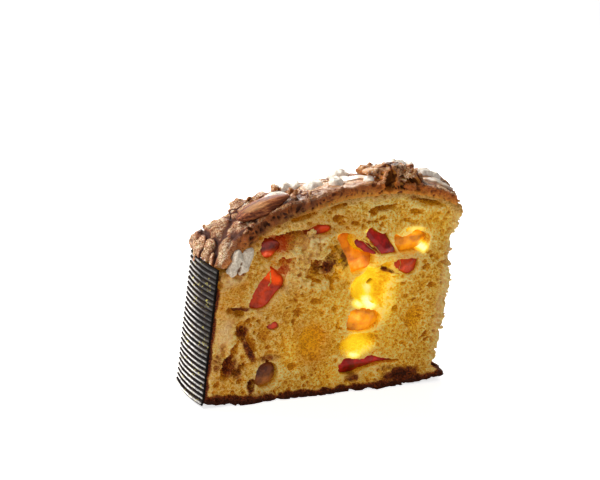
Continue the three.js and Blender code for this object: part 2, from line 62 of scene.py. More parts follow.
def place_camera():
    """The photograph's view: from the front left, a little above, with the camera held askew."""
    az, el, roll = (math.radians(a) for a in (CAMERA_AZIMUTH, CAMERA_HEIGHT, CAMERA_ROLL))
    back = Vector((math.sin(az) * math.cos(el), -math.cos(az) * math.cos(el), math.sin(el)))
    right = (-back).cross(Vector((0, 0, 1))).normalized()
    up = right.cross(-back)
    right_rolled = math.cos(roll) * right + math.sin(roll) * up
    up_rolled = -math.sin(roll) * right + math.cos(roll) * up
    target = Vector((np.array(CAMERA_TARGET) + TO_ROW) * MM)
    matrix = Matrix((right_rolled, up_rolled, back)).transposed().to_4x4()
    matrix.translation = target + back * CAMERA_DISTANCE * MM
    lens = bpy.data.cameras.new("camera")
    lens.lens = CAMERA_LENS
    lens.sensor_width = 36.0
    lens.clip_start = 0.05
    camera = bpy.data.objects.new("camera", lens)
    camera.matrix_world = matrix
    bpy.context.scene.collection.objects.link(camera)
    bpy.context.scene.camera = camera


place_camera()

# ---------------------------------------------------------------- measures shared with the solids

LENGTH = 127.0
OUTER_DEPTH = 29.0
INNER_DEPTH = 24.5
CUT_Y = -15.0
LEFT = -65.6
FOOT = -1.2
WALL_FLARE = 1.3
WALL_BULGE = 1.9
WALL_TURN = 3.9
TEAR_SKEW = 8.0
CASE_HEIGHT = 65.0
CASE_FOOT = 0.9
RIB_PITCH = 2.5
RIB_COUNT = 26
RIB_HEIGHT = 1.0
LINER = 0.5
HEM_FLARE = 1.0
GAP = 0.3

CRUMB_TOP = [
    (-67, 60), (-62, 65.5), (-57, 71), (-50, 77.5), (-43, 83), (-36, 86.5), (-28, 89), (-18, 92),
    (-8, 94.5), (2, 96), (12, 97), (24, 97.5), (36, 96.5), (48, 94.5), (58, 91.5), (66, 88),
]
BASE = [(-70, 1.2), (-58, 0.2), (-48, -0.6), (-38, FOOT), (36, FOOT), (46, -0.8), (58, 0.2), (76, 2.4)]
TORN_END = [
    (-1, 65.5), (1.4, 70.4), (3.6, 70.4), (7, 64), (12, 64), (26, 65.2), (54, 65.2), (62, 63.6),
    (70, 61.8), (74.5, 62.2), (78, 65), (90, 65.4), (97, 62.6),
]
BACK_RISE = [(-66, -4.5), (-50, -2.6), (-10, -3), (20, -2.6), (36, 0.6), (62, 4)]
GLAZE_THICKNESS = [
    (-67, 8), (-62, 12.5), (-56, 12.5), (-50, 10.5), (-43, 8.6), (-34, 7.2), (-18, 6.2), (0, 5.6),
    (20, 5.8), (36, 5), (60, 4.4),
]

# Candied fruit: outline on the cut face, depth into the crumb, how far its front lies behind the cut, how
# rounded it is, and its folds, each a line (a place on it and its turn) with the slopes on its two sides.
FRUIT_SHAPES = {
    "cherry_peel": (
        [(11.2, 78.8), (14.4, 81), (16.6, 79.6), (20.7, 77.6), (23.7, 77.8), (26.6, 73.5), (29.9, 70),
         (31.6, 67.6), (27.7, 67.9), (21.9, 67.8), (18.9, 70), (17.5, 72.3), (13.8, 75.6)],
        4.6, -0.8, 0.5, [((20, 73), -42, 0.3, 0.12), ((25, 70), 20, 0.1, 0.3)],
    ),
    "cherry_sliver": (
        [(5.8, 75), (8.8, 75.8), (12.6, 74.2), (18.4, 70.2), (19.6, 68.3), (17.4, 67.9),
         (12.3, 69.5), (7.2, 72.4)],
        1.4, 0.2, 0.4, [((12, 72), -34, 0.25, 0.2)],
    ),
    "orange_jelly_right": (
        [(29, 76.6), (33, 75.4), (40.6, 77.6), (46, 76.8), (48.8, 75), (48, 71.4), (44.4, 68.4), (38.4, 67.4),
         (34, 67.8), (30, 71.6)],
        5.4, 1.6, 1.2, [((38, 72), 12, 0.1, 0.35), ((44, 72), 80, 0.05, 0.25)],
    ),
    "orange_jelly_left": (
        [(-4, 77.6), (0, 78.4), (5, 77.4), (7.4, 73), (12, 69.6), (18.6, 66.8), (20, 63.4),
         (16, 59.8), (8.6, 58.8), (5, 63.2), (0.4, 71)],
        5.4, 2.1, 1.2, [((6, 70), 60, 0.2, 0.1), ((12, 64), -30, 0.2, 0.1)],
    ),
    "orange_dice_right": (
        [(31.8, 63), (34, 64.4), (42.4, 64.6), (44.8, 62.5), (44.4, 58.7), (40.6, 56.3),
         (34.9, 58.7), (32, 61)],
        4.6, 0.7, 0.8, [((38, 61), 30, 0.2, 0.1)],
    ),
    "orange_dice_left": (
        [(-41.4, 60.4), (-38.2, 64.4), (-33.8, 61.8), (-30, 58.4), (-31.2, 55), (-35, 50.4), (-38, 45.8),
         (-43.6, 44.8), (-48.8, 47.4), (-47, 53.2), (-44.6, 56.6)],
        5.4, 1.2, 0.6, [((-37, 57), -22, 0.3, 0.06), ((-36, 50), 50, 0.3, 0.02)],
    ),
    "orange_dice_high": (
        [(-44.8, 74), (-43.7, 76.4), (-40, 77.4), (-36, 76.4), (-34.2, 73.8), (-36, 70.8), (-38.3, 68.6),
         (-41, 68.8), (-43.6, 71)],
        4, 2.6, 0.7, [((-41, 72.6), 20, -0.1, 0.3), ((-38, 75), -60, -0.1, 0.1)],
    ),
    "orange_chip": ([(-20.6, 80.2), (-13.6, 83.6), (-9, 82.4), (-11.6, 80), (-17, 79.6)], 3.4, 1.2, 0.6, []),
    "amber_dice": (
        [(8.8, 38), (13, 40.6), (19, 40.4), (26.6, 37.4), (27.4, 33.6), (24.6, 30.2), (17, 28.4), (9.6, 31)],
        5.4, 0.9, 1.4, [((18, 35), 0, 0.12, 0.12), ((22, 35), 84, 0.02, 0.16)],
    ),
    "soaked_raisin": (
        [(-40, 13.6), (-38, 18), (-33, 19.2), (-28.6, 16.4), (-27.4, 11.4), (-29.8, 7),
         (-36, 6.2), (-39.4, 9)],
        8, 0.9, 3.4, [],
    ),
    "cherry_strip": (
        [(7, 12.4), (8.8, 14.8), (13, 16), (20, 15.2), (26, 15.8), (33, 13.8), (42, 12.8),
         (41.6, 12), (33, 11.6), (26, 10.2), (20, 8.6), (15, 7.6), (9, 8.6)],
        4.4, 1.2, 0.7, [((20, 12.4), 0, 0.1, 0.4), ((14, 12), 70, 0.16, 0.06)],
    ),
    "orange_bit": ([(-36, 36.2), (-33.2, 38.4), (-30.2, 36), (-32, 34.6), (-34.6, 34.6)], 2.4, 0.6, 0.6, []),
}

# Air holes in the front cut: place, width and height, tilt in degrees, depth.
FRONT_HOLES = [
    ((20, 51), (22, 19), 25, 9), ((17, 24), (22, 8), 8, 6), ((49, 33), (10, 13), 10, 5),
    ((-25, 88.6), (13, 3.4), 14, 6), ((-6, 92.4), (9, 2.4), 8, 5), ((19, 90.6), (16, 2.8), 6, 5),
    ((46, 92), (20, 2.6), -12, 6), ((-31, 78.4), (18, 3.4), 14, 6), ((-10, 66), (18, 12), 30, 5),
    ((-33, 67.4), (7, 4), 40, 4), ((-17, 58), (8, 5), -10, 3.4), ((-5.5, 86.5), (7, 3.6), 0, 3.4),
    ((-52.6, 44), (7, 3.8), -8, 5), ((-50, 35), (7, 11), 18, 4.5), ((-56, 19), (5, 12), -22, 4.5),
    ((-10, 27), (15, 14), -30, 3.6), ((39, 88), (8, 3), -14, 3), ((27.5, 61), (6, 4), -12, 4),
]

# ---------------------------------------------------------------- curves and noise


def curve_through(points):
    """A smooth function through (input, output) points, level beyond its ends."""
    xs, ys = (np.array(column, float) for column in zip(*points))
    last = len(points) - 1
    before, after = np.maximum(np.arange(last + 1) - 1, 0), np.minimum(np.arange(last + 1) + 1, last)
    slope = (ys[after] - ys[before]) / (xs[after] - xs[before])

    def value(t):
        t = np.clip(np.asarray(t, float), xs[0], xs[-1])
        n = np.clip(np.searchsorted(xs, t, side="right") - 1, 0, last - 1)
        span = xs[n + 1] - xs[n]
        s = (t - xs[n]) / span
        return (
            (1 + 2 * s) * (1 - s) ** 2 * ys[n]
            + s * (1 - s) ** 2 * span * slope[n]
            + s * s * (3 - 2 * s) * ys[n + 1]
            + s * s * (s - 1) * span * slope[n + 1]
        )

    return value


def corner_value(i, j, k):
    """A fixed value from -1 to 1 at each corner of a unit lattice, the same as in the solids."""
    mask = 0xFFFFFFFF
    h = (i * 374761393 + j * 668265263 + k * 1442695041) & mask
    h = ((h ^ (h >> 13)) * 1274126177) & mask
    return (h ^ (h >> 16)) / mask * 2 - 1


def smooth_noise(x, y, z):
    """Smooth noise from -1 to 1 by blending the corner values of the lattice cell."""
    x, y, z = np.broadcast_arrays(*(np.asarray(a, float) for a in (x, y, z)))
    corners = [np.floor(a).astype(np.int64) for a in (x, y, z)]
    parts = [a - c for a, c in zip((x, y, z), corners)]
    a, b, c = (t * t * (3 - 2 * t) for t in parts)
    i, j, k = corners

    def row(dj, dk):
        return corner_value(i, j + dj, k + dk) * (1 - a) + corner_value(i + 1, j + dj, k + dk) * a

    def sheet(dk):
        return row(0, dk) * (1 - b) + row(1, dk) * b

    return sheet(0) * (1 - c) + sheet(1) * c


crumb_top = curve_through(CRUMB_TOP)
base_curve = curve_through(BASE)
torn_end = curve_through(TORN_END)
back_rise = curve_through(BACK_RISE)
glaze_thickness = curve_through(GLAZE_THICKNESS)


def base_at(x):
    return np.maximum(FOOT, base_curve(x))


def depth_at(x):
    return OUTER_DEPTH + (INNER_DEPTH - OUTER_DEPTH) * (x - LEFT) / LENGTH


def share_at(x, y):
    return np.clip((y - CUT_Y) / depth_at(x), 0, 1)


def outer_wall(w, z):
    flare = WALL_FLARE * np.sqrt(np.clip(z / CASE_HEIGHT, 0, 1))
    return LEFT - flare - 4 * WALL_BULGE * w * (1 - w) + WALL_TURN * w


def tear_at(w, z):
    return torn_end(z) + TEAR_SKEW * w


def dome_at(x, w):
    start, stop = outer_wall(w, CASE_HEIGHT), tear_at(w, 95)
    along = (x - start) / (stop - start)
    front_start, front_stop = outer_wall(0, CASE_HEIGHT), tear_at(0, 95)
    front_x = front_start + (front_stop - front_start) * along
    return crumb_top(front_x) + back_rise(front_x) * w


def cut_relief(x, z, side):
    swells = 0.8 * smooth_noise(x / 14 + side * 40, 3.3, z / 14)
    swells = swells + 0.4 * smooth_noise(x / 6, 8.1 + side * 9, z / 6)
    raised = 1.6 * np.exp(-(((x + 19) / 13) ** 2) - ((z - 66) / 13) ** 2) if side < 0 else 0
    return side * (swells + raised)


def front(x, z):
    return CUT_Y + cut_relief(x, z, -1)


def back(x, z):
    return CUT_Y + depth_at(x) + cut_relief(x, z, 1)


def glaze_top(x, w):
    y = CUT_Y + depth_at(x) * w
    wrinkles = 0.6 * smooth_noise(x / 7, y / 6, 0.5) + 0.5 * smooth_noise(x / 3.4, y / 3.4, 7.5)
    return dome_at(x, w) + GAP + glaze_thickness(x) + wrinkles


# ---------------------------------------------------------------- food as a distance field


def soft_max(a, b, rounding):
    return 0.5 * (a + b + np.sqrt((a - b) ** 2 + rounding**2))


def soft_min(a, b, rounding):
    return -soft_max(-a, -b, rounding)


# Blending evens noise out, and this brings it back to about -1 to 1.
NOISE_GAIN = 2.6


class Dough:
    """A block of space in which food is shaped: its values are distances, below 0 inside the food."""

    def __init__(self, low, high, step):
        self.low = np.array(low, float)
        self.step = step
        self.count = np.ceil((np.array(high) - self.low) / step).astype(int) + 1
        self.axes = [self.low[n] + step * np.arange(self.count[n]) for n in range(3)]
        self.x, self.y, self.z = (
            axis.astype(np.float32).reshape([-1 if n == m else 1 for m in range(3)])
            for n, axis in enumerate(self.axes)
        )
        self.value = np.full(self.count, 9.0, np.float32)

    def noise(self, cell, seed, stretch=(1, 1, 1)):
        """Smooth noise of about -1 to 1 over the block, with lumps of one cell's size."""
        weights = []
        for n, axis in enumerate(self.axes):
            place = (axis - self.low[n]) / (cell * stretch[n])
            knot = np.floor(place).astype(int)
            f = place - knot
            blend = np.zeros((len(axis), knot[-1] + 4))
            parts = (
                (1 - f) ** 3 / 6,
                (3 * f**3 - 6 * f**2 + 4) / 6,
                (-3 * f**3 + 3 * f**2 + 3 * f + 1) / 6,
                f**3 / 6,
            )
            for shift, part in enumerate(parts):
                blend[np.arange(len(axis)), knot + shift] = part
            weights.append(blend.astype(np.float32))
        random = np.random.default_rng(seed)
        lattice = random.uniform(-1, 1, [w.shape[1] for w in weights]).astype(np.float32)
        for blend in weights:
            lattice = np.tensordot(lattice, blend, axes=(0, 1))
        return lattice * NOISE_GAIN

    def near(self, at, reach):
        """The part of the block within reach of a place, and its coordinates from that place."""
        first = np.clip(np.floor((np.array(at) - reach - self.low) / self.step), 0, self.count).astype(int)
        last = np.clip(np.ceil((np.array(at) + reach - self.low) / self.step) + 1, 0, self.count).astype(int)
        window = tuple(slice(a, b) for a, b in zip(first, last))
        x = self.x[window[0]] - at[0]
        y = self.y[:, window[1]] - at[1]
        z = self.z[:, :, window[2]] - at[2]
        return window, x, y, z

    def lump(self, at, radii, turns=(0, 0, 0), power=2.0, grow=0.0, warp=None):
        """Distance to a rounded lump round its place: power 2 is an ellipsoid, 5 nearly a block."""
        radii = np.array(radii, float) + grow
        window, x, y, z = self.near(at, max(radii) * 1.3 + 2)
        turn = np.array(Euler([math.radians(a) for a in turns]).to_matrix())
        local = [turn[0, n] * x + turn[1, n] * y + turn[2, n] * z for n in range(3)]
        size = sum((np.abs(c) / r) ** power for c, r in zip(local, radii)) ** (1 / power)
        if warp is not None:
            size = size + warp[window]
        return window, ((size - 1) * min(radii)).astype(np.float32)

    def add(self, *args, blend=0.0, **kwargs):
        window, lump = self.lump(*args, **kwargs)
        if lump.size:
            here = self.value[window]
            self.value[window] = soft_min(here, lump, blend) if blend else np.minimum(here, lump)

    def cut(self, *args, blend=0.0, **kwargs):
        window, lump = self.lump(*args, **kwargs)
        if lump.size:
            here = self.value[window]
            self.value[window] = soft_max(here, -lump, blend) if blend else np.maximum(here, -lump)

    def carve(self, distance):
        """Takes the food away where a distance is below 0."""
        self.value = np.maximum(self.value, -distance).astype(np.float32)

    def read(self, field, points):
        """Values of a field over the block at points, blended between its samples."""
        place = (points - self.low) / self.step
        place = np.clip(place, 0, self.count - 1.001)
        n = place.astype(int)
        f = place - n
        total = 0
        for corner in range(8):
            d = np.array([corner & 1, corner >> 1 & 1, corner >> 2 & 1])
            weight = np.prod(np.where(d, f, 1 - f), axis=1)
            total = total + weight * field[tuple((n + d).T)]
        return total

    def fullness(self, radius):
        """How full of food the surroundings of each sample are, from 0 to 1."""
        share = np.clip(0.5 - self.value / self.step, 0, 1).astype(np.float32)
        reach = max(1, round(radius / self.step))
        for axis in range(3):
            for _ in range(2):
                pad = [(reach + 1, reach) if n == axis else (0, 0) for n in range(3)]
                total = np.cumsum(np.pad(share, pad, mode="edge"), axis=axis, dtype=np.float32)
                size = self.count[axis]
                upper = np.take(total, np.arange(2 * reach + 1, 2 * reach + 1 + size), axis=axis)
                lower = np.take(total, np.arange(0, size), axis=axis)
                share = (upper - lower) / (2 * reach + 1)
        return share

    def surface(self, axis, from_high=False):
        """Where the food begins along an axis, seen from its low or its high side."""
        inside = self.value < 0
        if from_high:
            inside = np.flip(inside, axis)
        first = np.argmax(inside, axis=axis)
        place = self.axes[axis][::-1][first] if from_high else self.axes[axis][first]
        return np.where(inside.any(axis=axis), place, np.nan)

    def mesh(self, name, faces_wanted, keep_fine=None):
        """The food's skin as one closed piece in the row frame, with its vertices in cake coordinates."""
        value = self.value.copy()
        for axis in range(3):
            edge = [slice(None)] * 3
            for side in (0, -1):
                edge[axis] = side
                value[tuple(edge)] = self.step * 2
        grid = openvdb.FloatGrid(self.step * 4)
        grid.copyFromArray(np.clip(value, -4 * self.step, 4 * self.step))
        points, quads = grid.convertToQuads()
        faces = np.concatenate([quads[:, [0, 1, 2]], quads[:, [0, 2, 3]]]).astype(np.int64)
        points, faces = largest_body(points * self.step + self.low, faces)
        if volume_of(points, faces) < 0:
            faces = faces[:, ::-1]
        piece = placed(name, mesh_from(name, points, faces))
        if len(faces) > faces_wanted:
            thin_out(piece, faces_wanted / len(faces), keep_fine)
        return piece


def placed(name, data):
    """A new object in the scene."""
    piece = bpy.data.objects.new(name, data)
    bpy.context.scene.collection.objects.link(piece)
    return piece


def volume_of(points, faces):
    a, b, c = (points[faces[:, n]] for n in range(3))
    return np.einsum("ij,ij->i", a, np.cross(b, c)).sum() / 6


def largest_body(points, faces):
    """Only the largest connected body: scraps and closed bubbles are dropped."""
    label = np.arange(len(points))
    while True:
        low = label[faces].min(axis=1)
        new = label.copy()
        for n in range(3):
            np.minimum.at(new, faces[:, n], low)
        new = new[new]
        if (new == label).all():
            break
        label = new
    names, counts = np.unique(label[faces[:, 0]], return_counts=True)
    faces = faces[label[faces[:, 0]] == names[np.argmax(counts)]]
    used = np.unique(faces)
    index = np.zeros(len(points), np.int64)
    index[used] = np.arange(len(used))
    return points[used], index[faces]


def mesh_from(name, points, faces):
    """A mesh from triangles in cake coordinates, written in metres in the row frame."""
    mesh = bpy.data.meshes.new(name)
    mesh.vertices.add(len(points))
    mesh.vertices.foreach_set("co", ((points + TO_ROW) * MM).astype(np.float32).ravel())
    mesh.loops.add(len(faces) * 3)
    mesh.loops.foreach_set("vertex_index", faces.astype(np.int32).ravel())
    mesh.polygons.add(len(faces))
    mesh.polygons.foreach_set("loop_start", np.arange(0, len(faces) * 3, 3, dtype=np.int32))
    mesh.update(calc_edges=True)
    mesh.validate()
    mesh.shade_smooth()
    return mesh


def finished(piece):
    """Makes the modifiers of a piece part of its mesh."""
    bpy.context.view_layer.update()
    result = piece.evaluated_get(bpy.context.evaluated_depsgraph_get())
    mesh = bpy.data.meshes.new_from_object(result)
    piece.modifiers.clear()
    old = piece.data
    piece.data = mesh
    bpy.data.meshes.remove(old)
    mesh.name = piece.name


# The decimator adds this much times an edge's length, in metres, to the squared error it may make.
FINE_FACTOR = 0.00002
# The most that a place may be kept fine. At 1 the decimator would take nothing out there.
FINEST = 0.9


def thin_out(piece, ratio, keep_fine):
    """Fewer triangles, with the ones that keep_fine points at kept small."""
    modifier = piece.modifiers.new("thin out", "DECIMATE")
    modifier.ratio = ratio
    if keep_fine is not None:
        group = piece.vertex_groups.new(name="fine")
        weight = keep_fine(cake_points(piece))
        for level in np.unique(np.round(weight, 1)):
            group.add([int(n) for n in np.nonzero(np.round(weight, 1) == level)[0]], float(level), "REPLACE")
        modifier.vertex_group = "fine"
        modifier.invert_vertex_group = True
        modifier.vertex_group_factor = FINE_FACTOR
    finished(piece)
    piece.vertex_groups.clear()


def cake_points(piece):
    """The vertices of a piece in cake coordinates."""
    co = np.zeros(len(piece.data.vertices) * 3, np.float32)
    piece.data.vertices.foreach_get("co", co)
    return co.reshape(-1, 3) / MM - TO_ROW


def paint(piece, name, values):
    """A value from 0 to 1 at each vertex, for the piece's material to read."""
    layer = piece.data.attributes.new(name, "FLOAT", "POINT")
    layer.data.foreach_set("value", np.clip(values, 0, 1).astype(np.float32))


def patches(points, spots, plane=(0, 2)):
    """Soft patches, each (middle, radii, tilt, strength), on one plane of the cake."""
    total = np.zeros(len(points))
    for (u, v), (ru, rv), tilt, strength in spots:
        a = math.radians(tilt)
        du, dv = points[:, plane[0]] - u, points[:, plane[1]] - v
        along = (du * math.cos(a) + dv * math.sin(a)) / ru
        across = (-du * math.sin(a) + dv * math.cos(a)) / rv
        total = np.maximum(total, strength * np.exp(-((along**2 + across**2) ** 1.5)))
    return total


# ---------------------------------------------------------------- nodes and materials


def channel_light(shown):
    """How much light one channel of a screen colour, 0 to 255, stands for."""
    return ((shown / 255 + 0.055) / 1.055) ** 2.4 if shown > 10 else shown / 255 / 12.92


def tint(red, green, blue):
    """A colour as seen on a screen, 0 to 255 a channel, in the renderer's own scale."""
    return (channel_light(red), channel_light(green), channel_light(blue), 1)


class Nodes:
    """A tree of nodes, built node by node."""

    def __init__(self, tree):
        self.tree = tree

    def node(self, kind, output=0, inputs=(), **settings):
        """Adds a node with its settings and inputs, each a value or another node's output."""
        node = self.tree.nodes.new(kind)
        for name, value in settings.items():
            setattr(node, name, value)
        for place, value in dict(inputs).items():
            if isinstance(value, bpy.types.NodeSocket):
                self.tree.links.new(value, node.inputs[place])
            else:
                node.inputs[place].default_value = value
        return node.outputs[output]

    def math(self, operation, a, b=0.0, c=0.0):
        return self.node("ShaderNodeMath", inputs={0: a, 1: b, 2: c}, operation=operation)

    def plus(self, a, b):
        return self.math("ADD", a, b)

    def minus(self, a, b):
        return self.math("SUBTRACT", a, b)

    def times(self, a, b):
        return self.math("MULTIPLY", a, b)

    def over(self, a, b):
        return self.math("DIVIDE", a, b)

    def spread(self, value, low, high, to_low=0.0, to_high=1.0):
        inputs = {"Value": value, "From Min": low, "From Max": high, "To Min": to_low, "To Max": to_high}
        return self.node("ShaderNodeMapRange", inputs=inputs, interpolation_type="SMOOTHSTEP")


class Group(Nodes):
    """A group of nodes with named inputs and outputs."""

    def __init__(self, name, kind, sizes, results):
        super().__init__(bpy.data.node_groups.new(name, kind))
        self.sizes = sizes
        for in_out, sockets in (("INPUT", sizes), ("OUTPUT", results)):
            for label, value in sockets.items():
                self.tree.interface.new_socket(label, in_out=in_out, socket_type=self.socket_kind(value))
        self.given = self.tree.nodes.new("NodeGroupInput").outputs
        self.result = self.tree.nodes.new("NodeGroupOutput").inputs

    @staticmethod
    def socket_kind(value):
        kinds = {
            int: "Int", float: "Float", tuple: "Vector", type(None): "Geometry",
            bpy.types.Material: "Material", bpy.types.Object: "Object",
        }
        return "NodeSocket" + next(kind for sort, kind in kinds.items() if isinstance(value, sort))


def noise_in(group, shift):
    """Noise of the group's size in the piece's own coordinates, moved to another place by the shift."""
    place = group.node("ShaderNodeTexCoord", "Object")
    place = group.node("ShaderNodeVectorMath", inputs={0: place, 1: shift}, operation="ADD")
    inputs = {0: place, 1: group.given["Stretch"]}
    inputs = {
        "Vector": group.node("ShaderNodeVectorMath", inputs=inputs, operation="DIVIDE"),
        "Scale": group.over(1.0, group.given["Size"]),
        "Detail": group.given["Detail"],
        "Roughness": group.given["Roughness"],
    }
    return group.node("ShaderNodeTexNoise", "Fac", inputs)


def grain_effect():
    """Grain shared by all materials: soft lumps of one size, longer along an axis that is stretched."""
    sizes = {"Size": 0.001, "Detail": 3.0, "Roughness": 0.6, "Stretch": (1.0, 1.0, 1.0)}
    group = Group("grain", "ShaderNodeTree", sizes, {"Grain": 0.0})
    group.tree.links.new(noise_in(group, (0, 0, 0)), group.result["Grain"])
    return group.tree


def web_effect():
    """Fine strands round small cells, as in crumb and wrinkled skin: 1 on a strand and 0 in a cell."""
    sizes = {"Size": 0.001, "Detail": 1.0, "Roughness": 0.5, "Stretch": (1.0, 1.0, 1.0), "Width": 0.1}
    group = Group("web", "ShaderNodeTree", sizes, {"Strand": 0.0})
    sides = [
        group.math("ABSOLUTE", group.minus(noise_in(group, shift), 0.5))
        for shift in ((0.31, 0.17, 0.23), (0.53, 0.41, 0.07))
    ]
    strand = group.spread(group.math("MINIMUM", *sides), 0.0, group.given["Width"], 1.0, 0.0)
    group.tree.links.new(strand, group.result["Strand"])
    return group.tree


GRAIN, WEB = grain_effect(), web_effect()


class Finish(Nodes):
    """A material built node by node."""

    def __init__(self, name, roughness=0.6):
        self.material = bpy.data.materials.new(name)
        self.material.use_nodes = True
        super().__init__(self.material.node_tree)
        self.shader = self.tree.nodes["Principled BSDF"]
        self.set(Roughness=roughness)

    def set(self, **values):
        for name, value in values.items():
            self.shader.inputs[name.replace("_", " ")].default_value = value

    def feed(self, socket, output):
        self.tree.links.new(output, self.shader.inputs[socket])

    def painted(self, *names):
        outputs = [self.node("ShaderNodeAttribute", "Fac", attribute_name=name) for name in names]
        return outputs if len(outputs) > 1 else outputs[0]

    def grain(self, size_mm, detail=3.0, roughness=0.6, stretch=(1, 1, 1)):
        inputs = {"Size": size_mm * MM, "Detail": detail, "Roughness": roughness, "Stretch": stretch}
        return self.node("ShaderNodeGroup", "Grain", inputs, node_tree=GRAIN)

    def web(self, size_mm, width, stretch=(1, 1, 1)):
        inputs = {"Size": size_mm * MM, "Detail": 1.0, "Roughness": 0.5, "Stretch": stretch, "Width": width}
        return self.node("ShaderNodeGroup", "Strand", inputs, node_tree=WEB)

    def blend(self, amount, a, b, how="MIX"):
        inputs = {0: amount, 6: a, 7: b}
        return self.node("ShaderNodeMix", 2, inputs, data_type="RGBA", blend_type=how)

    def ramp(self, value, *stops):
        node = self.tree.nodes.new("ShaderNodeValToRGB")
        elements = node.color_ramp.elements
        while len(elements) < len(stops):
            elements.new(0.5)
        for element, (place, colour) in zip(elements, stops):
            element.position = place
            element.color = tint(*colour)
        self.tree.links.new(value, node.inputs[0])
        return node.outputs[0]

    def shine(self, colour):
        """Light of its own, in place of light that comes through."""
        self.feed("Emission Color", colour)
        self.set(Emission_Strength=1.0)

    def bump(self, height, distance_mm, strength=1.0):
        inputs = {"Height": height, "Distance": distance_mm * MM, "Strength": strength}
        self.feed("Normal", self.node("ShaderNodeBump", inputs=inputs))

    def softness(self, weight, scale_mm, radius=(1.0, 0.45, 0.15)):
        """How far light spreads inside: farther for red, so that thin places look warm."""
        self.set(Subsurface_Weight=weight, Subsurface_Scale=scale_mm * MM, Subsurface_Radius=radius)

    def coat(self, piece):
        piece.data.materials.clear()
        piece.data.materials.append(self.material)


# ---------------------------------------------------------------- crumb

CRUMB_STEP = 0.46
CRUMB_TRIANGLES = 196000

# The two nibs of sugar grown together on the cut face: middle, radii, lean.
SUGAR_PAIR = [
    ((-59.9, -15.2, 69.0), (1.9, 2.2, 5.5), 15),
    ((-54.2, -15.3, 69.8), (2.4, 2.4, 5.4), 13),
]
# Air holes strewn over the back cut: how many, and their smallest and largest width.
BACK_HOLE_COUNT = 8
BACK_HOLE_WIDTH = (7, 16)

# Channels and dark hollows that the solids leave out: place, width and height, tilt, depth.
CHANNELS = [
    ((-45, 30), (4, 12), 34, 3), ((-41.5, 8.5), (4, 5), 0, 4), ((-53, 25), (4, 9), -14, 4),
    ((-59, 27), (3, 9), 10, 2.4), ((-49, 16), (3, 8), -34, 3), ((-47, 40), (5, 3), 20, 3),
    ((-5, 63), (9, 13), 24, 4.6), ((-15, 66), (7, 5), 0, 4), ((-58, 46), (6, 3), -6, 3),
    ((-27, 79), (7, 3), 10, 4), ((-42, 79), (10, 2.4), 4, 3), ((41, 77.6), (5, 3), 10, 3),
    ((14, 84), (8, 2), -8, 2), ((34, 84), (6, 2), -14, 2), ((-12, 47), (4, 4), 0, 2.4),
    ((46, 43), (3, 2.6), 0, 2), ((-21, 42), (5, 5), 20, 2), ((-38, 33), (7, 8), 0, 2.2),
    ((-34, 76), (23, 7.6), 12, 4), ((-33, 61.6), (5.4, 10), -40, 4.4), ((-31, 68.4), (6, 3.6), -20, 3),
    ((-17.5, 58.6), (6.4, 5), 20, 3.4), ((-16.6, 81.6), (12, 5), 12, 3), ((-33, 78.4), (5, 2.2), 10, 6),
    ((55, 50), (4, 2.6), 12, 2.2), ((50, 60), (4, 3), -10, 2), ((3, 33), (3, 7), 0, 2),
    ((-8, 20), (6, 5), 0, 2.6), ((11, 22), (3, 3), 0, 2), ((58, 22), (5, 2), 20, 2),
]

# The webs of noise whose crossings make the crumb's strands: size of a cell, seed, stretch.
LACE = [(1.45, 31, (1.3, 1, 0.85)), (1.3, 32, (1.2, 1, 0.9)), (0.95, 33, (1.1, 1, 0.9)), (0.9, 34, (1, 1, 1))]
# How deep its cells and its finest cells are cut, and how far its strands stand out.
LACE_DEPTH, FINE_DEPTH, LACE_RAISED = 0.8, 0.4, 0.4
# Pits over the faces, in rounds of falling size: how many, smallest and largest radius.
FRONT_PITS = [(24, 1.8, 2.6), (240, 0.9, 1.6)]
BASE_PITS = [(420, 0.5, 1.3)]
BACK_PITS = [(300, 1.6, 2.6), (1200, 0.95, 1.6)]
TORN_END_PITS = [(60, 1.4, 2.2), (300, 0.8, 1.4)]
# Under the dome's crust, down to this depth, the pits are long and lie along the dome.
LEVEL_PITS_DEPTH = 14
# Where the crumb is smooth: walls of large air cells and crumb soaked by the fruit.
# This table and those after it, up to the pale spots, hold middle, radii, tilt and strength.
CALM_SPOTS = [
    ((20, 50), (12, 14), 20, 1.0), ((17, 24), (11, 5), 8, 0.8), ((18, 35), (12, 8), 0, 0.9),
    ((38, 73), (14, 8), 0, 0.9), ((8, 68), (13, 12), -20, 0.9), ((-9, 25), (8, 8), 30, 0.7),
    ((49, 33), (5, 7), 10, 1.0), ((-61, 34), (5, 10), 0, 0.7), ((-38, 74), (9, 5), 0, 0.6),
    ((-38, 30), (4, 4), 0, 0.8), ((-40, 58), (8, 9), 45, 0.4), ((-34, 13), (8, 9), 0, 0.7),
    ((-15, 59), (4, 2.4), 0, 0.9), ((-3, 86), (5, 2), 0, 0.8), ((-12, 47), (3, 2.4), 0, 0.9),
    ((-56, 57), (8, 6), 20, 0.5),
]
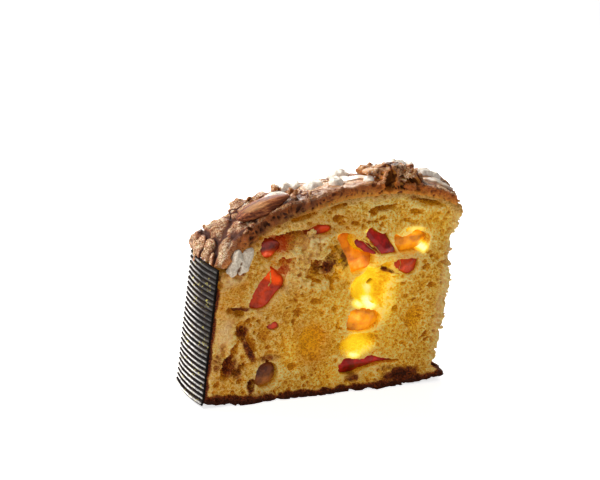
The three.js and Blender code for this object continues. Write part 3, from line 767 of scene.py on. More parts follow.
# Painted glow: light of the crumb's own where light would come through it.
PAINTED_GLOWS = [
    ((14, 43), (5.6, 2.6), -16, 0.9), ((21, 43), (6.5, 4.4), 8, 0.96), ((23, 48), (5, 6), 10, 0.86),
    ((20, 51), (12, 11), 20, 0.74), ((11, 52), (5, 4), 0, 0.72), ((20, 57), (9, 6), 0, 0.7),
    ((18, 22), (11, 6.6), 8, 0.72), ((15, 17.6), (5, 2), 0, 0.88), ((28, 44), (10, 16), 0, 0.52),
    ((40, 79.2), (8, 2), -4, 0.7), ((12.4, 79.8), (3, 1.2), 0, 0.9), ((-3, 78.2), (3, 1.4), 0, 0.6),
    ((46, 70.6), (3.4, 4), 30, 1.0), ((38, 74), (13, 8), 0, 0.5), ((-10, 27), (12, 12), 30, 0.32),
    ((8, 66), (15, 14), 0, 0.5), ((-22, 24), (9, 13), 20, 0.28), ((20, 38), (38, 38), 0, 0.3),
    ((46, 82), (28, 12), 0, 0.24), ((49, 33), (7, 9), 10, 0.3), ((5, 10), (14, 8), 0, 0.24),
    ((26, 54), (14, 16), 10, 0.52), ((18, 25), (13, 11), 0, 0.5),
]
# Soaked through and amber: the crumb round the fruit.
SOAKED = [
    ((-60, 50), (14, 22), 0, 0.5), ((-52, 80), (16, 8), 40, 0.5), ((-56, 14), (14, 14), 0, 0.4),
    ((-9, 25), (10, 10), 30, 1.0), ((-16, 32), (9, 7), 0, 0.5), ((5, 66), (12, 12), -30, 0.6),
    ((1, 74), (7, 5), 0, 0.6), ((-42, 66), (12, 10), 0, 0.4), ((-56, 57), (10, 8), 0, 0.5),
    ((37, 66), (9, 6), 0, 0.35), ((-33, 27), (10, 12), 0, 0.3), ((-20, 86), (18, 5), 10, 0.35),
    ((-40, 40), (20, 24), 0, 0.35), ((0, 84), (10, 5), 0, 0.4), ((27, 60), (6, 3), 0, 0.5),
]
# Baked or stained brown, and painted shadow beside the sugar nibs.
STAINS_AND_SHADOWS = [
    ((-8, 65), (9, 5), 20, 0.4), ((0, 67), (3, 9), 30, 0.4), ((-14, 65), (6, 3), 0, 0.36),
    ((-45.6, 26), (2.4, 8), 30, 0.5), ((-49, 34), (2.6, 4), 0, 0.44), ((-54, 19), (3, 7), -8, 0.5),
    # The last two patches on the next line are painted shadow beside the sugar nibs.
    ((-62, 21), (3, 5), 0, 0.36), ((-62.6, 70), (1.6, 6), 12, 0.8), ((-57, 63), (5, 1.4), 0, 0.5),
    ((-50, 16), (5, 5), -30, 0.34), ((-56, 16), (10, 11), 0, 0.14),
    ((-42, 8), (2.4, 4.4), 0, 0.6), ((-53, 46), (5, 1.6), -6, 0.6), ((-34, 21), (7, 2), 0, 0.34),
    ((-33, 78), (8, 1.4), 6, 0.5), ((-22, 80), (8, 1.6), 14, 0.34), ((-12, 82), (8, 2.4), 12, 0.24),
    ((-25, 90.4), (9, 2), 14, 0.36), ((-48, 85), (12, 3), 20, 0.3), ((19, 90), (9, 1.4), 6, 0.26),
    ((46, 92.6), (12, 1.4), -14, 0.36), ((36, 95), (5, 1.4), 0, 0.3), ((28.6, 58.6), (3, 1.4), -12, 0.55),
    ((24, 61), (3, 1.4), 20, 0.36), ((45, 5), (12, 4), 0, 0.66), ((36, 9), (8, 2), 0, 0.3),
    ((16, 6), (6, 2.6), 0, 0.36), ((47, 43.4), (1.6, 1), 0, 0.4), ((-31, 55), (2, 5), 40, 0.26),
]
# Stained red by the fruit, in the walls of its hollows.
REDDENED = [
    ((-37, 75.4), (10, 4.6), 14, 1.0), ((-33, 61.4), (3, 6), -36, 0.9), ((-31, 68.4), (3.6, 2.4), -20, 0.8),
    ((-16.4, 81.8), (7, 2.4), 12, 0.8), ((-53, 45.8), (3, 1.4), 0, 0.6), ((29, 58.4), (3, 1.6), -10, 0.6),
    ((24, 12), (20, 2.4), 0, 0.5), ((-44, 44.6), (5, 2), 20, 0.4), ((-49.6, 64), (2, 7), -10, 0.4),
    ((-14, 66.4), (7, 2), 10, 0.5), ((-9, 62), (3, 3), 0, 0.4), ((-33, 17), (7, 4), 0, 0.4),
]
# Paler, drier crumb.
PALE_SPOTS = [
    ((-60, 34), (5, 9), 0, 0.5), ((-61, 29), (3, 4), 0, 0.5), ((-58, 61), (6, 3), 20, 0.6),
    ((-19, 77), (6, 5), -40, 0.6), ((-21, 72), (9, 7), -20, 0.35), ((-25, 62), (6, 8), 0, 0.3),
    ((64, 50), (4, 44), 0, 0.5), ((45, 71), (3, 3), 0, 0.5), ((40, 79.6), (5, 1.6), 0, 0.6),
]
# How far behind the cut the painted spots of these tables reach.
SPOT_REACH = 14
# Brown threads of crumb left across the torn hollow: lower and upper end on the cut face.
THREADS = [
    ((-9, 61.5), (-4.6, 71)), ((-5, 60.5), (-2, 73)), ((-1.6, 60), (-1.6, 74)), ((2.4, 59.4), (-3, 74.6)),
    ((-14, 62.6), (-8, 68.6)), ((-11, 61.8), (-10, 68)), ((0.6, 59.6), (0.4, 71)),
]
# Crumbs that cling in that hollow: how many, and the hollow's middle and radii.
TORN_CRUMB_COUNT = 46
TORN_HOLLOW = ((-6.5, 65), (8, 5))
# Shreds of crumb that stand out at the torn end.
TORN_SHRED_COUNT = 220
# Torn flaps of pale crumb at the left of that hollow, and two shreds in the red hollow beyond them:
# middle, radii, turn.
FLAPS = [
    ((-13, -17.2, 78), (5, 1.6, 2.4), 34), ((-20.4, -17.4, 77.4), (3.4, 1.8, 3.4), -30),
    ((-18, -16.8, 72), (5, 2, 4.6), 12), ((-24.6, -16.6, 68.6), (4, 1.8, 4.2), -24),
    ((-24, -16.6, 60), (4, 1.8, 5.4), -12), ((-13.6, -16.8, 73), (3, 1.6, 4), 30),
    ((-28.4, -17, 72.6), (4, 1.4, 1.8), 10), ((-14, -16.6, 55), (6, 1.2, 2), 12),
    ((-36.4, -16.4, 75.6), (1.4, 2.2, 2.2), 20), ((-37.6, -16.8, 73.4), (1, 1.8, 2), 0),
]


def random_from(seed):
    """Pseudo-random numbers from 0 to 1, the same as in the solids."""
    state = seed
    mask = 0xFFFFFFFF
    while True:
        state = (state + 0x6D2B79F5) & mask
        t = ((state ^ (state >> 15)) * (1 | state)) & mask
        t = ((t + (((t ^ (t >> 7)) * (61 | t)) & mask)) & mask) ^ t
        yield ((t ^ (t >> 14)) & mask) / 4294967296


def strewn_holes(count, widths, seed):
    """Holes strewn over a cut face, one in each of as many upright strips."""
    random = random_from(seed)
    holes = []
    for n in range(count):
        x = -57 + 114 * (n + next(random) * 0.8) / count
        z = 8 + (float(crumb_top(x)) - 14) * next(random)
        width = widths[0] + (widths[1] - widths[0]) * next(random) ** 2
        height = width * (0.6 + 0.5 * next(random))
        holes.append(((x, z), (width, height), -40 + 80 * next(random), width * 0.5))
    return holes


def rim_of(outline):
    """A smooth closed curve through an outline's corners."""
    corners = np.array(outline, float)
    before, after, beyond = (np.roll(corners, shift, axis=0) for shift in (1, -1, -2))
    points = []
    for t in np.arange(0, 1, 0.2):
        points.append(
            0.5
            * (
                2 * corners
                + (after - before) * t
                + (2 * before - 5 * corners + 4 * after - beyond) * t**2
                + (3 * corners - before - 3 * after + beyond) * t**3
            )
        )
    return np.stack(points, axis=1).reshape(-1, 2)


def outline_distance(outline, x, z):
    """Distance to an outline on the cut face, below 0 inside it."""
    rim = rim_of(outline)
    x, z = np.broadcast_arrays(x, z)
    nearest = np.full(x.shape, 1e9)
    crossings = np.zeros(x.shape, bool)
    for a, b in zip(rim, np.roll(rim, -1, axis=0)):
        edge = b - a
        t = np.clip(((x - a[0]) * edge[0] + (z - a[1]) * edge[1]) / (edge @ edge), 0, 1)
        nearest = np.minimum(nearest, np.hypot(x - a[0] - t * edge[0], z - a[1] - t * edge[1]))
        if a[1] != b[1]:
            cross_x = a[0] + (z - a[1]) / edge[1] * edge[0]
            crossings ^= ((z > a[1]) != (z > b[1])) & (x < cross_x)
    return np.where(crossings, -nearest, nearest)


def fruit_front(name):
    """Y of the front of a piece of fruit's hole."""
    corners = np.array(FRUIT_SHAPES[name][0], float)
    return float(front(corners[:, 0], corners[:, 1]).max())


def shape_slab(dough):
    """The bare slice: two cut faces, the rounded outer end, the torn end, the base and the dome."""
    x, y, z = dough.x, dough.y, dough.z
    w = share_at(x, y)
    shreds = 1.3 * dough.noise(1.8, 11, stretch=(2.4, 1.6, 0.8)) + 0.4 * dough.noise(5, 12) - 0.9
    ragged = 0.5 * dough.noise(2.6, 13) + 0.45 * dough.noise(1.2, 14, stretch=(1.4, 1.4, 1))
    value = np.maximum(front(x, z) - y, y - back(x, z))
    value = soft_max(value, outer_wall(w, z) - x, 0.6)
    value = soft_max(value, x - tear_at(w, z) + shreds, 0.8)
    value = soft_max(value, base_at(x) - z + ragged - 0.3, 0.4)
    value = np.maximum(value, z - dome_at(x, w) - GAP)
    dough.value = value.astype(np.float32)


def scatter_pits(dough, random, axis, from_high, rounds, warp, box):
    """Pits of falling size over one face, each round (how many, smallest, largest radius)."""
    flat = [n for n in range(3) if n != axis]
    inward = -1 if from_high else 1
    taken = np.zeros((0, 4))
    for count, small, large in rounds:
        skin = dough.surface(axis, from_high)
        kept = []
        for _ in range(count):
            radius = small + (large - small) * random.random() ** 2
            u, v = (random.uniform(*box[n]) for n in range(2))
            index = [
                int(np.clip(round((place - dough.low[n]) / dough.step), 0, dough.count[n] - 1))
                for place, n in zip((u, v), flat)
            ]
            level = skin[tuple(index)]
            if np.isnan(level):
                continue
            at = np.zeros(3)
            at[flat[0]], at[flat[1]] = u, v
            at[axis] = level + inward * radius * random.uniform(-0.45, 0.3)
            apart = np.linalg.norm(taken[:, :3] - at, axis=1)
            if (apart < 0.9 * (taken[:, 3] + radius)).any():
                continue
            taken = np.vstack([taken, [*at, radius]])
            kept.append((at, radius))
        for at, radius in kept:
            below_dome = dome_at(at[0], share_at(at[0], at[1])) - at[2]
            long = 1.5 if below_dome < LEVEL_PITS_DEPTH else random.uniform(0.9, 1.35)
            radii = [radius * long, radius * random.uniform(0.9, 1.4), radius * random.uniform(0.7, 1.05)]
            if axis == 0:
                radii = [radius * 1.4, radius * random.uniform(0.9, 1.5), radius * random.uniform(0.6, 0.9)]
            if below_dome < LEVEL_PITS_DEPTH:
                turn = random.gauss(0, 12) - 0.3 * at[0]
            else:
                turn = random.uniform(-50, 50)
            dough.cut(at, radii, (0, turn, random.uniform(-20, 20)), warp=warp)


def lace(dough):
    """Strands and small cells all over the cut and torn faces, finer at the front, none on the crusts."""
    x, y, z = dough.x, dough.y, dough.z
    webs = [np.abs(dough.noise(size, seed, stretch)) for size, seed, stretch in LACE]
    strands = np.minimum(webs[0], webs[1])
    finest = np.minimum(webs[2], webs[3])
    w = share_at(x, y)
    inside = np.minimum(z - base_at(x) - 1.5, x - outer_wall(w, z) - 1.2)
    inside = np.clip(np.minimum(inside, dome_at(x, w) - z - 0.8) / 2, 0, 1)
    flat = np.stack([c.ravel() for c in np.broadcast_arrays(x[:, 0], 0 * x[:, 0], z[:, 0])], axis=1)
    calm = 1 - 0.85 * patches(flat, CALM_SPOTS).reshape(x.shape[0], 1, -1)
    depth = LACE_DEPTH * np.clip(strands / 0.5, 0, 1) + FINE_DEPTH * np.clip(finest / 0.5, 0, 1)
    depth = depth - LACE_RAISED
    dough.value = (dough.value + depth * inside * calm).astype(np.float32)


def fruit_pocket(dough, name, ragged):
    """The hole round a piece of fruit, with a ragged lip of crumb over the fruit's rim."""
    outline, deep, inset = FRUIT_SHAPES[name][:3]
    near = fruit_front(name) + inset
    side = outline_distance(outline, dough.x, dough.z)
    lip = side + 0.4 * ragged - 0.6 * (inset - 0.9)
    pocket = np.where(dough.y < near - GAP, lip, side - GAP)
    return np.maximum(pocket, np.maximum(near - 5 - inset - dough.y, dough.y - near - deep - GAP))


def shape_crumb(random):
    dough = Dough((-70.5, -19, -3), (79, 16.5, 100), CRUMB_STEP)
    shape_slab(dough)
    coarse, fine = 0.16 * dough.noise(3.4, 21), 0.3 * dough.noise(1.3, 22)
    dough.value += 0.35 * dough.noise(4.2, 23) + 0.12 * dough.noise(1.3, 24)
    tatters = 0.5 * dough.noise(2.2, 25) + 0.4 * dough.noise(1.1, 26)
    for (x, z), (width, height), tilt, deep in FRONT_HOLES + CHANNELS:
        at, soft = (x, float(front(x, z)), z), 2.0 if min(width, height) > 7 else 0.5
        dough.cut(at, (width / 2, deep, height / 2), (0, -tilt, 0), warp=coarse, blend=soft)
    for at, radii, turn in FLAPS:
        dough.add(at, radii, (0, -turn, 0), power=2.6, warp=tatters, blend=0.4)
    (cx, cz), (rx, rz) = TORN_HOLLOW
    for _ in range(TORN_CRUMB_COUNT):
        a, far = random.uniform(0, 2 * math.pi), math.sqrt(random.random())
        x, z = cx + rx * far * math.cos(a), cz + rz * far * math.sin(a)
        at = (x, float(front(x, z)) + random.uniform(0.4, 2.6), z)
        radii = [random.uniform(0.6, 1.5) for _ in range(3)]
        dough.add(at, radii, (0, random.uniform(-50, 50), 0), power=2.6, warp=fine, blend=0.3)
    for low, high in THREADS:
        middle = [(a + b) / 2 for a, b in zip(low, high)]
        lean = math.degrees(math.atan2(high[0] - low[0], high[1] - low[1]))
        half = math.dist(low, high) / 2
        at = (middle[0], float(front(*middle)) + random.uniform(1.4, 3), middle[1])
        dough.add(at, (0.62, 1.4, half + 1), (0, lean, 0), warp=0.5 * fine)
    for (x, z), (width, height), tilt, deep in strewn_holes(BACK_HOLE_COUNT, BACK_HOLE_WIDTH, 41):
        at = (x, float(back(x, z)), z)
        dough.cut(at, (width / 2, deep, height / 2), (0, -tilt, 0), warp=coarse)
    for _ in range(TORN_SHRED_COUNT):
        z, w = random.uniform(9, 92), random.random() ** 1.6
        at = (float(tear_at(w, z)) + random.uniform(-1.6, -0.2), CUT_Y + INNER_DEPTH * w, z)
        radii = (random.uniform(0.9, 1.7), random.uniform(0.7, 1.6), random.uniform(0.35, 0.9))
        dough.add(at, radii, (0, random.uniform(-30, 30), 0), warp=fine)
    lace(dough)
    face, base = ((-66, 66), (3, 97)), ((-66, 70), (-1, 5))
    scatter_pits(dough, random, 1, False, FRONT_PITS, fine, face)
    scatter_pits(dough, random, 1, False, BASE_PITS, fine, base)
    scatter_pits(dough, random, 1, True, BACK_PITS, fine, face)
    scatter_pits(dough, random, 0, True, TORN_END_PITS, fine, ((-14, 11), (2, 95)))
    for name in FRUIT_SHAPES:
        dough.carve(fruit_pocket(dough, name, coarse * 6 + fine))
    for at, radii, lean in SUGAR_PAIR:
        dough.cut(at, radii, (0, lean, 0), power=3.4, grow=GAP)
    return dough


def make_crumb():
    dough = shape_crumb(chance.Random(5))
    piece = dough.mesh("crumb", CRUMB_TRIANGLES, lambda p: np.clip((0 - p[:, 1]) / 8, 0, FINEST))
    points = cake_points(piece)
    x, y, z = points.T
    w = share_at(x, y)
    close, wide, broad = (dough.read(dough.fullness(radius), points) for radius in (0.8, 2.4, 5))
    wobble = smooth_noise(x / 5, y / 5, z / 2.4) * 1.1 + smooth_noise(x / 2, y / 2, z / 2) * 0.6
    above_base = z - base_at(x) + wobble
    under_dome = dome_at(x, w) - z + wobble
    from_wall = x - outer_wall(w, z) + 0.5 * wobble
    bake = np.clip(1.2 - above_base / 4.4, 0, 1)
    bake = np.maximum(bake, 0.24 * np.clip(1.2 - under_dome / 5, 0, 1))
    bake = np.maximum(bake, 0.6 * np.clip(1.3 - from_wall / 1.6, 0, 1))
    near_front = np.clip((CUT_Y + SPOT_REACH - y) / 4, 0, 1)
    ragged = 1 + 0.4 * smooth_noise(x / 2.6, y / 2.6, z / 2.6) + 0.3 * smooth_noise(x / 1.1, y / 1.1, z / 1.1)
    # Stains, and painted shadow beside the sugar nibs.
    bake = np.maximum(bake, patches(points, STAINS_AND_SHADOWS) * near_front * ragged)
    # Painted shade: darker where the crumb closes in round a place, as in pits and holes, and more widely
    # near the front.
    paint(piece, "hollow", 0.42 + 0.7 * (close - 0.5) + 1.1 * (wide - 0.5) + 1.2 * near_front * (broad - 0.5))
    paint(piece, "bake", bake)
    paint(piece, "soaked", patches(points, SOAKED) * near_front * ragged)
    paint(piece, "pale", patches(points, PALE_SPOTS) * near_front * ragged)
    behind = np.clip((y - front(x, z) - 0.4) / 1.2, 0.25, 1)
    paint(piece, "reddened", patches(points, REDDENED) * near_front * ragged * behind)
    # Painted glow on the front of the crumb, strongest at the glow patches.
    paint(piece, "glow", patches(points, PAINTED_GLOWS) * near_front * (0.94 + 0.06 * ragged))
    # How much of the painted glow the crumb gets: 1 near the front cut, 0 towards the back, where it is
    # painted darker.
    paint(piece, "lit_through", near_front)
    finish = crumb_finish()
    return dress(piece, finish, "crumb", "crumb"), finish


def crumb_finish():
    """Open yellow crumb: pale strands, amber pits with painted shade in them, baked brown towards the crust,
    and a painted glow over its front.
    """
    f = Finish("crumb finish", roughness=0.7)
    hollow, bake, soaked = f.painted("hollow", "bake", "soaked")
    pale, reddened, glow, lit_through = f.painted("pale", "reddened", "glow", "lit_through")
    strands, fine = f.web(1.9, 0.07, (1.2, 1, 0.9)), f.web(1.0, 0.07, (1.1, 1, 0.9))
    grain = f.grain(0.8, detail=4, roughness=0.65)
    raised = f.plus(f.times(strands, 0.36), f.times(fine, 0.26))
    lace = f.minus(0.3, raised)
    lace = f.times(lace, f.spread(glow, 0.35, 0.7, 1.0, 0.3))
    # Painted shade in the pits: the more enclosed, the deeper orange-brown.
    pit = f.plus(f.plus(hollow, lace), f.spread(grain, 0.3, 0.7, -0.12, 0.12))
    open_crumb = f.ramp(
        pit,
        (0.0, (255, 238, 164)),
        (0.22, (244, 210, 100)),
        (0.46, (226, 168, 48)),
        (0.7, (204, 128, 32)),
        (1.0, (156, 70, 18)),
    )
    open_crumb = f.blend(f.times(soaked, 0.8), open_crumb, tint(220, 134, 40), "MULTIPLY")
    # Painted shade: the crumb darker towards the back, away from the painted glow.
    open_crumb = f.blend(f.spread(lit_through, 0, 1, 0.35, 0), open_crumb, tint(150, 84, 20))
    open_crumb = f.blend(pale, open_crumb, tint(250, 228, 176))
    red = f.spread(f.plus(reddened, lace), 0.15, 0.9, 0, 0.8)
    open_crumb = f.blend(red, open_crumb, tint(180, 66, 22))
    crust = f.ramp(
        f.plus(f.plus(bake, lace), f.spread(grain, 0.3, 0.7, -0.14, 0.14)),
        (0.0, (208, 132, 46)),
        (0.3, (152, 68, 24)),
        (0.55, (106, 48, 25)),
        (0.8, (56, 30, 19)),
        (1.0, (26, 16, 12)),
    )
    # Crust colour where baked or stained, and where shadow is painted.
    f.feed("Base Color", f.blend(f.spread(bake, 0.04, 0.4), open_crumb, crust))
    # Painted glow: emission over the front of the crumb, brightest at the glow patches, red where reddened
    # and dimmed where baked.
    light = f.ramp(
        f.minus(glow, f.times(lace, 0.3)),
        (0.0, (92, 56, 4)),
        (0.25, (130, 88, 8)),
        (0.5, (196, 150, 10)),
        (0.75, (238, 206, 34)),
        (1.0, (255, 250, 196)),
    )
    light = f.blend(f.spread(reddened, 0.1, 0.7, 0, 0.9), light, tint(104, 18, 4))
    light = f.blend(f.spread(bake, 0.1, 0.5), light, tint(34, 9, 2))
    # The painted glow fades to a dim brown towards the back.
    f.shine(f.blend(lit_through, tint(20, 8, 1), light))
    f.set(Specular_IOR_Level=0.1)
    f.softness(0.25, 2)
    height = f.plus(f.times(strands, 0.8), f.times(fine, 0.6))
    f.bump(f.plus(height, grain), 0.55, 0.8)
    return f


# ---------------------------------------------------------------- almond glaze

GLAZE_STEP = 0.5
GLAZE_TRIANGLES = 170000

# Lobes of glaze down the steep outer side: middle, radii and lean of the long axis.
GLAZE_LOBES = [
    ((-62.4, 11.4, 69.6), (3, 5, 5), 14), ((-65, 4.4, 70), (3, 4.4, 6.2), 14),
    ((-65.4, -2.6, 69.4), (2.8, 3.4, 6), 12), ((-66.4, -8.6, 67.2), (2.6, 2.6, 5.6), 4),
    ((-63.2, -11.2, 71.4), (3.6, 4.4, 8.6), 22), ((-56.6, -14.8, 78.6), (2.6, 2.4, 4.2), 36),
    ((-59, 2.6, 77.6), (3.2, 8, 7), 42), ((-55.4, -8.4, 82), (2.4, 5.6, 6), 50),
    ((-48, 2, 87.4), (3, 8, 6.4), 60), ((-36, 4, 91), (2.8, 6, 7), 70),
]
# The crust broken open on the crest: hollows in the cut edge (middle, radii, turn) under raised flakes
# (middle, half sizes, roll, pitch).
CREST_HOLLOWS = [
    ((33.4, -15, 102.8), (5.6, 6.5, 2.5), -10), ((20.6, -15, 103.4), (3.8, 6.5, 4.4), -34),
    ((26.6, -15.6, 100.2), (4, 3.4, 1.1), 0), ((15.6, -16, 98.6), (1.6, 3, 1), 20),
    ((27.6, -14, 106.6), (3, 4, 0.9), 20), ((38, -15, 105), (2.6, 4, 0.8), -40),
]
# The heap of broken crust round them: middle, radii, turn.
CREST_HEAP = [
    ((21, -8.6, 103.6), (8, 6.4, 4.6), 12), ((30, -9, 103.8), (8, 6.2, 5), -6),
    ((37, -7, 102), (6, 6, 3.4), -30), ((21.6, 4, 103.2), (6.4, 3, 1.9), 4),
]
# Thin layers left standing at the hollows' rims.
CREST_FLAKES = [
    ((32, -13, 101.6), (4, 2.6, 0.5), 0, 8), ((12.6, -9, 107), (4, 2.6, 0.7), 0, -14),
    ((19, -8, 109.4), (3, 2.4, 0.7), 0, -30), ((25, -10, 110), (3.6, 2.6, 0.8), 0, 16),
    ((32, -9, 108.8), (3.4, 2.6, 0.7), 0, 24), ((26.4, -13.6, 103.4), (1.3, 2, 3.2), 0, 14),
]
CREST_CRUMB_COUNT = 260
# Crumbly lumps of baked nut paste between the plates, behind and above the almond.
NUT_LUMPS = [
    ((-50, -12, 87.6), 1.5), ((-49, -7, 90.4), 1.8),
    ((-45, -3.4, 93), 2), ((-41, -0.4, 95), 1.9), ((-37, -4, 96.8), 1.8), ((-32, 1, 98), 2),
    ((-28, -7, 98.4), 1.7), ((-26, 3, 99.4), 2), ((-39, -9.6, 95.4), 1.5), ((-30, -11, 98), 1.4),
    ((-24, -12, 99), 1.4), ((-45, 2, 92.6), 2), ((-19, -2, 100.4), 1.5),
    ((-36, -12.4, 94), 1.3), ((-48, 5, 90), 1.8), ((-47, -14.8, 85), 1.6),
    ((-42, -14.8, 87.6), 1.7), ((-36, -14.8, 91), 1.6), ((-31, -14.6, 93.4), 1.8), ((-27, -14.4, 96), 1.5),
    ((-52, -15, 82), 1.6), ((-22, -14.6, 97.4), 1.4), ((-14, -14.4, 99), 1.3), ((-6, -14, 101), 1.2),
]
# Burnt places of the cut edge, on the cut face, and painted shadow, as beside the sugar nib.
SCORCHES_AND_SHADOWS = [
    ((-38, 89), (24, 5), 24, 0.9), ((-50, 83), (9, 6), 40, 0.9), ((-26, 95), (8, 4), 10, 0.9),
    ((-12, 99), (12, 3), 12, 0.6), ((26, 100.6), (12, 2), 0, 0.6), ((-58, 72), (3, 9), 10, 0.7),
    ((4, 101), (9, 2), 0, 0.4),
]
ALMOND_AT, ALMOND_SIZE, ALMOND_LEAN, ALMOND_PROUD = (-44.8, -9.4), (28, 10.4, 7), 21, 1.4

# Nibs and lumps of sugar: [x, y] on the dome, length, width, height, and how far each stands proud.
SUGAR = {
    "sugar_nib_slope": ((-34.6, -2.4), (11, 5, 4), 0.8),
    "sugar_nib_left": ((-20.6, 8), (12, 6, 3.4), 0.6),
    "sugar_nib_edge": ((-11.4, 1.4), (9, 6, 4), 0.9),
    "sugar_nib_middle": ((-2, -3.6), (6.4, 6, 5), 0.8),
    "sugar_nib_small": ((12, -9.6), (4, 4, 3.4), 0.5),
    "sugar_lump_middle": ((7.4, 8.4), (9, 5.4, 5.4), 0.6),
    "sugar_lump_crest": ((40.4, 6.6), (7.6, 6, 7), 2.2),
    "sugar_lump_crest_right": ((46.4, 5.4), (5, 5, 5.4), 1.8),
    "sugar_nib_right": ((53.8, 2.6), (6.6, 5, 4.4), 0.8),
    "sugar_nib_end": ((60, 1.4), (5, 5, 4.4), 0.8),
}
# Each nib is made of three lumps: smallest and largest radii as shares of its length, width and height.
NIB_RADII = ((0.2, 0.34), (0.28, 0.46), (0.3, 0.48))
# Pools of icing: middle, length and width, turn, seed of the ragged rim.
ICING = {
    "icing_patch_middle": ((12, -0.6), (28, 8), -12, 5),
    "icing_patch_right": ((56.4, -5.6), (17, 5), -8, 8),
}
ICING_THICKNESS = 1.2
ICING_STEP = 0.35
ICING_TRIANGLES = 24000

# Pits of the cut edges at the front and at the back: how many, smallest and largest radius.
GLAZE_FRONT_PITS = [(40, 0.9, 1.7), (90, 0.5, 0.9)]
GLAZE_BACK_PITS = [(500, 0.6, 1.2)]
# Where the skin is smooth and tan rather than crumbly and brown, seen from above.
SMOOTH_SKIN = [((4, -4), (22, 14), 0, 1.0), ((50, 0), (14, 14), 0, 1.0), ((-14, 4), (12, 8), 0, 0.8)]


def slope_at(x, w):
    """The dome's slope as a turn about Y, in degrees."""
    return -math.degrees(math.atan2(float(dome_at(x + 3, w) - dome_at(x - 3, w)), 6))


def topping_place(at, proud):
    x, y = at
    w = share_at(x, y)
    return (x, y, float(glaze_top(x, w)) + proud), slope_at(x, w)


def cell_edges(points, size, seed, stretch=(1, 1, 1)):
    """How far points lie from the seams between irregular cells of one size."""
    place = points / (size * np.array(stretch))
    home = np.floor(place).astype(np.int64)
    nearest = np.full(len(points), 9.0)
    second = nearest.copy()
    for corner in range(27):
        cell = home + np.array([corner % 3, corner // 3 % 3, corner // 9]) - 1
        i, j, k = cell.T
        jitter = np.stack([corner_value(i + seed * n, j - n * 7, k + 3 * n) for n in (1, 2, 3)], axis=1)
        away = np.linalg.norm(cell + 0.5 + 0.42 * jitter - place, axis=1)
        second = np.minimum(second, np.maximum(nearest, away))
        nearest = np.minimum(nearest, away)
    return (second - nearest) * size


def crack_depth(points):
    """The seams between plates and lobes of glaze, from 0 to 1, and how smooth the skin is there."""
    skin = patches(points, SMOOTH_SKIN, plane=(0, 1))
    on_slope = np.clip((-52 - points[:, 0]) / 5, 0, 1)
    seams = np.exp(-((cell_edges(points, 8.5, 3) / 0.7) ** 2)) * (1 - 0.8 * skin) * (1 - on_slope)
    seams = np.maximum(seams, on_slope * np.exp(-((lobe_seams(points) / 0.9) ** 2)))
    wrinkles = np.exp(-((cell_edges(points, 2.6, 9, (0.9, 0.9, 2.2)) / 0.45) ** 2)) * (1 - skin)
    return np.maximum(seams, 0.24 * wrinkles), skin


def icing_distance(x, y, pool):
    """Distance to the ragged rim of a pool of icing, seen from above."""
    (cx, cy), (length, width), turn, seed = pool
    a = math.radians(turn)
    u = ((x - cx) * math.cos(a) + (y - cy) * math.sin(a)) / (length / 2)
    v = (-(x - cx) * math.sin(a) + (y - cy) * math.cos(a)) / (width / 2)
    round_about = np.hypot(u, v)
    ragged = 1 + 0.2 * smooth_noise(u / round_about * 2.2 + seed, v / round_about * 2.2, seed)
    ragged = ragged + 0.12 * smooth_noise(x / 1.6, y / 1.6, seed + 4.5)
    return (round_about - ragged) * width / 2


def break_open_crest(dough, random, middle, fine):
    """The broken crust on the crest: a rough heap of flakes and crumbs with dark hollows under them."""
    for at, radii, turn in CREST_HEAP:
        dough.add(at, radii, (0, -turn, 0), power=2.4, warp=0.3 * middle + 0.1 * fine, blend=0.6)
    for n in range(CREST_CRUMB_COUNT):
        at, heap, _ = CREST_HEAP[n % len(CREST_HEAP)]
        way = Vector([random.gauss(0, 1) for _ in range(3)]).normalized()
        spot = [c + d * r * random.uniform(0.85, 1.08) for c, d, r in zip(at, way, heap)]
        if spot[2] < 98:
            continue
        radii = (random.uniform(0.7, 1.7), random.uniform(0.7, 1.5), random.uniform(0.35, 0.8))
        turns = [random.uniform(-50, 50) for _ in range(3)]
        dough.add(spot, radii, turns, power=2.6, warp=0.2 * fine, blend=0.2)
    for at, radii, turn in CREST_HOLLOWS:
        dough.cut(at, radii, (0, -turn, 0), warp=0.3 * middle + 0.16 * fine)
    for at, radii, roll, pitch in CREST_FLAKES:
        dough.add(at, radii, (roll, pitch, 0), power=2.6, warp=0.3 * middle + 0.24 * fine)


def lobe_seams(points):
    """How far points lie from the creases between the lobes of glaze on the slope."""
    first, second = np.full(len(points), 9.0), np.full(len(points), 9.0)
    for at, radii, lean in GLAZE_LOBES:
        turn = np.array(Euler((0, math.radians(lean), 0)).to_matrix())
        away = (np.linalg.norm((points - at) @ turn / radii, axis=1) - 1) * min(radii)
        second = np.minimum(second, np.maximum(first, away))
        first = np.minimum(first, away)
    return second - first


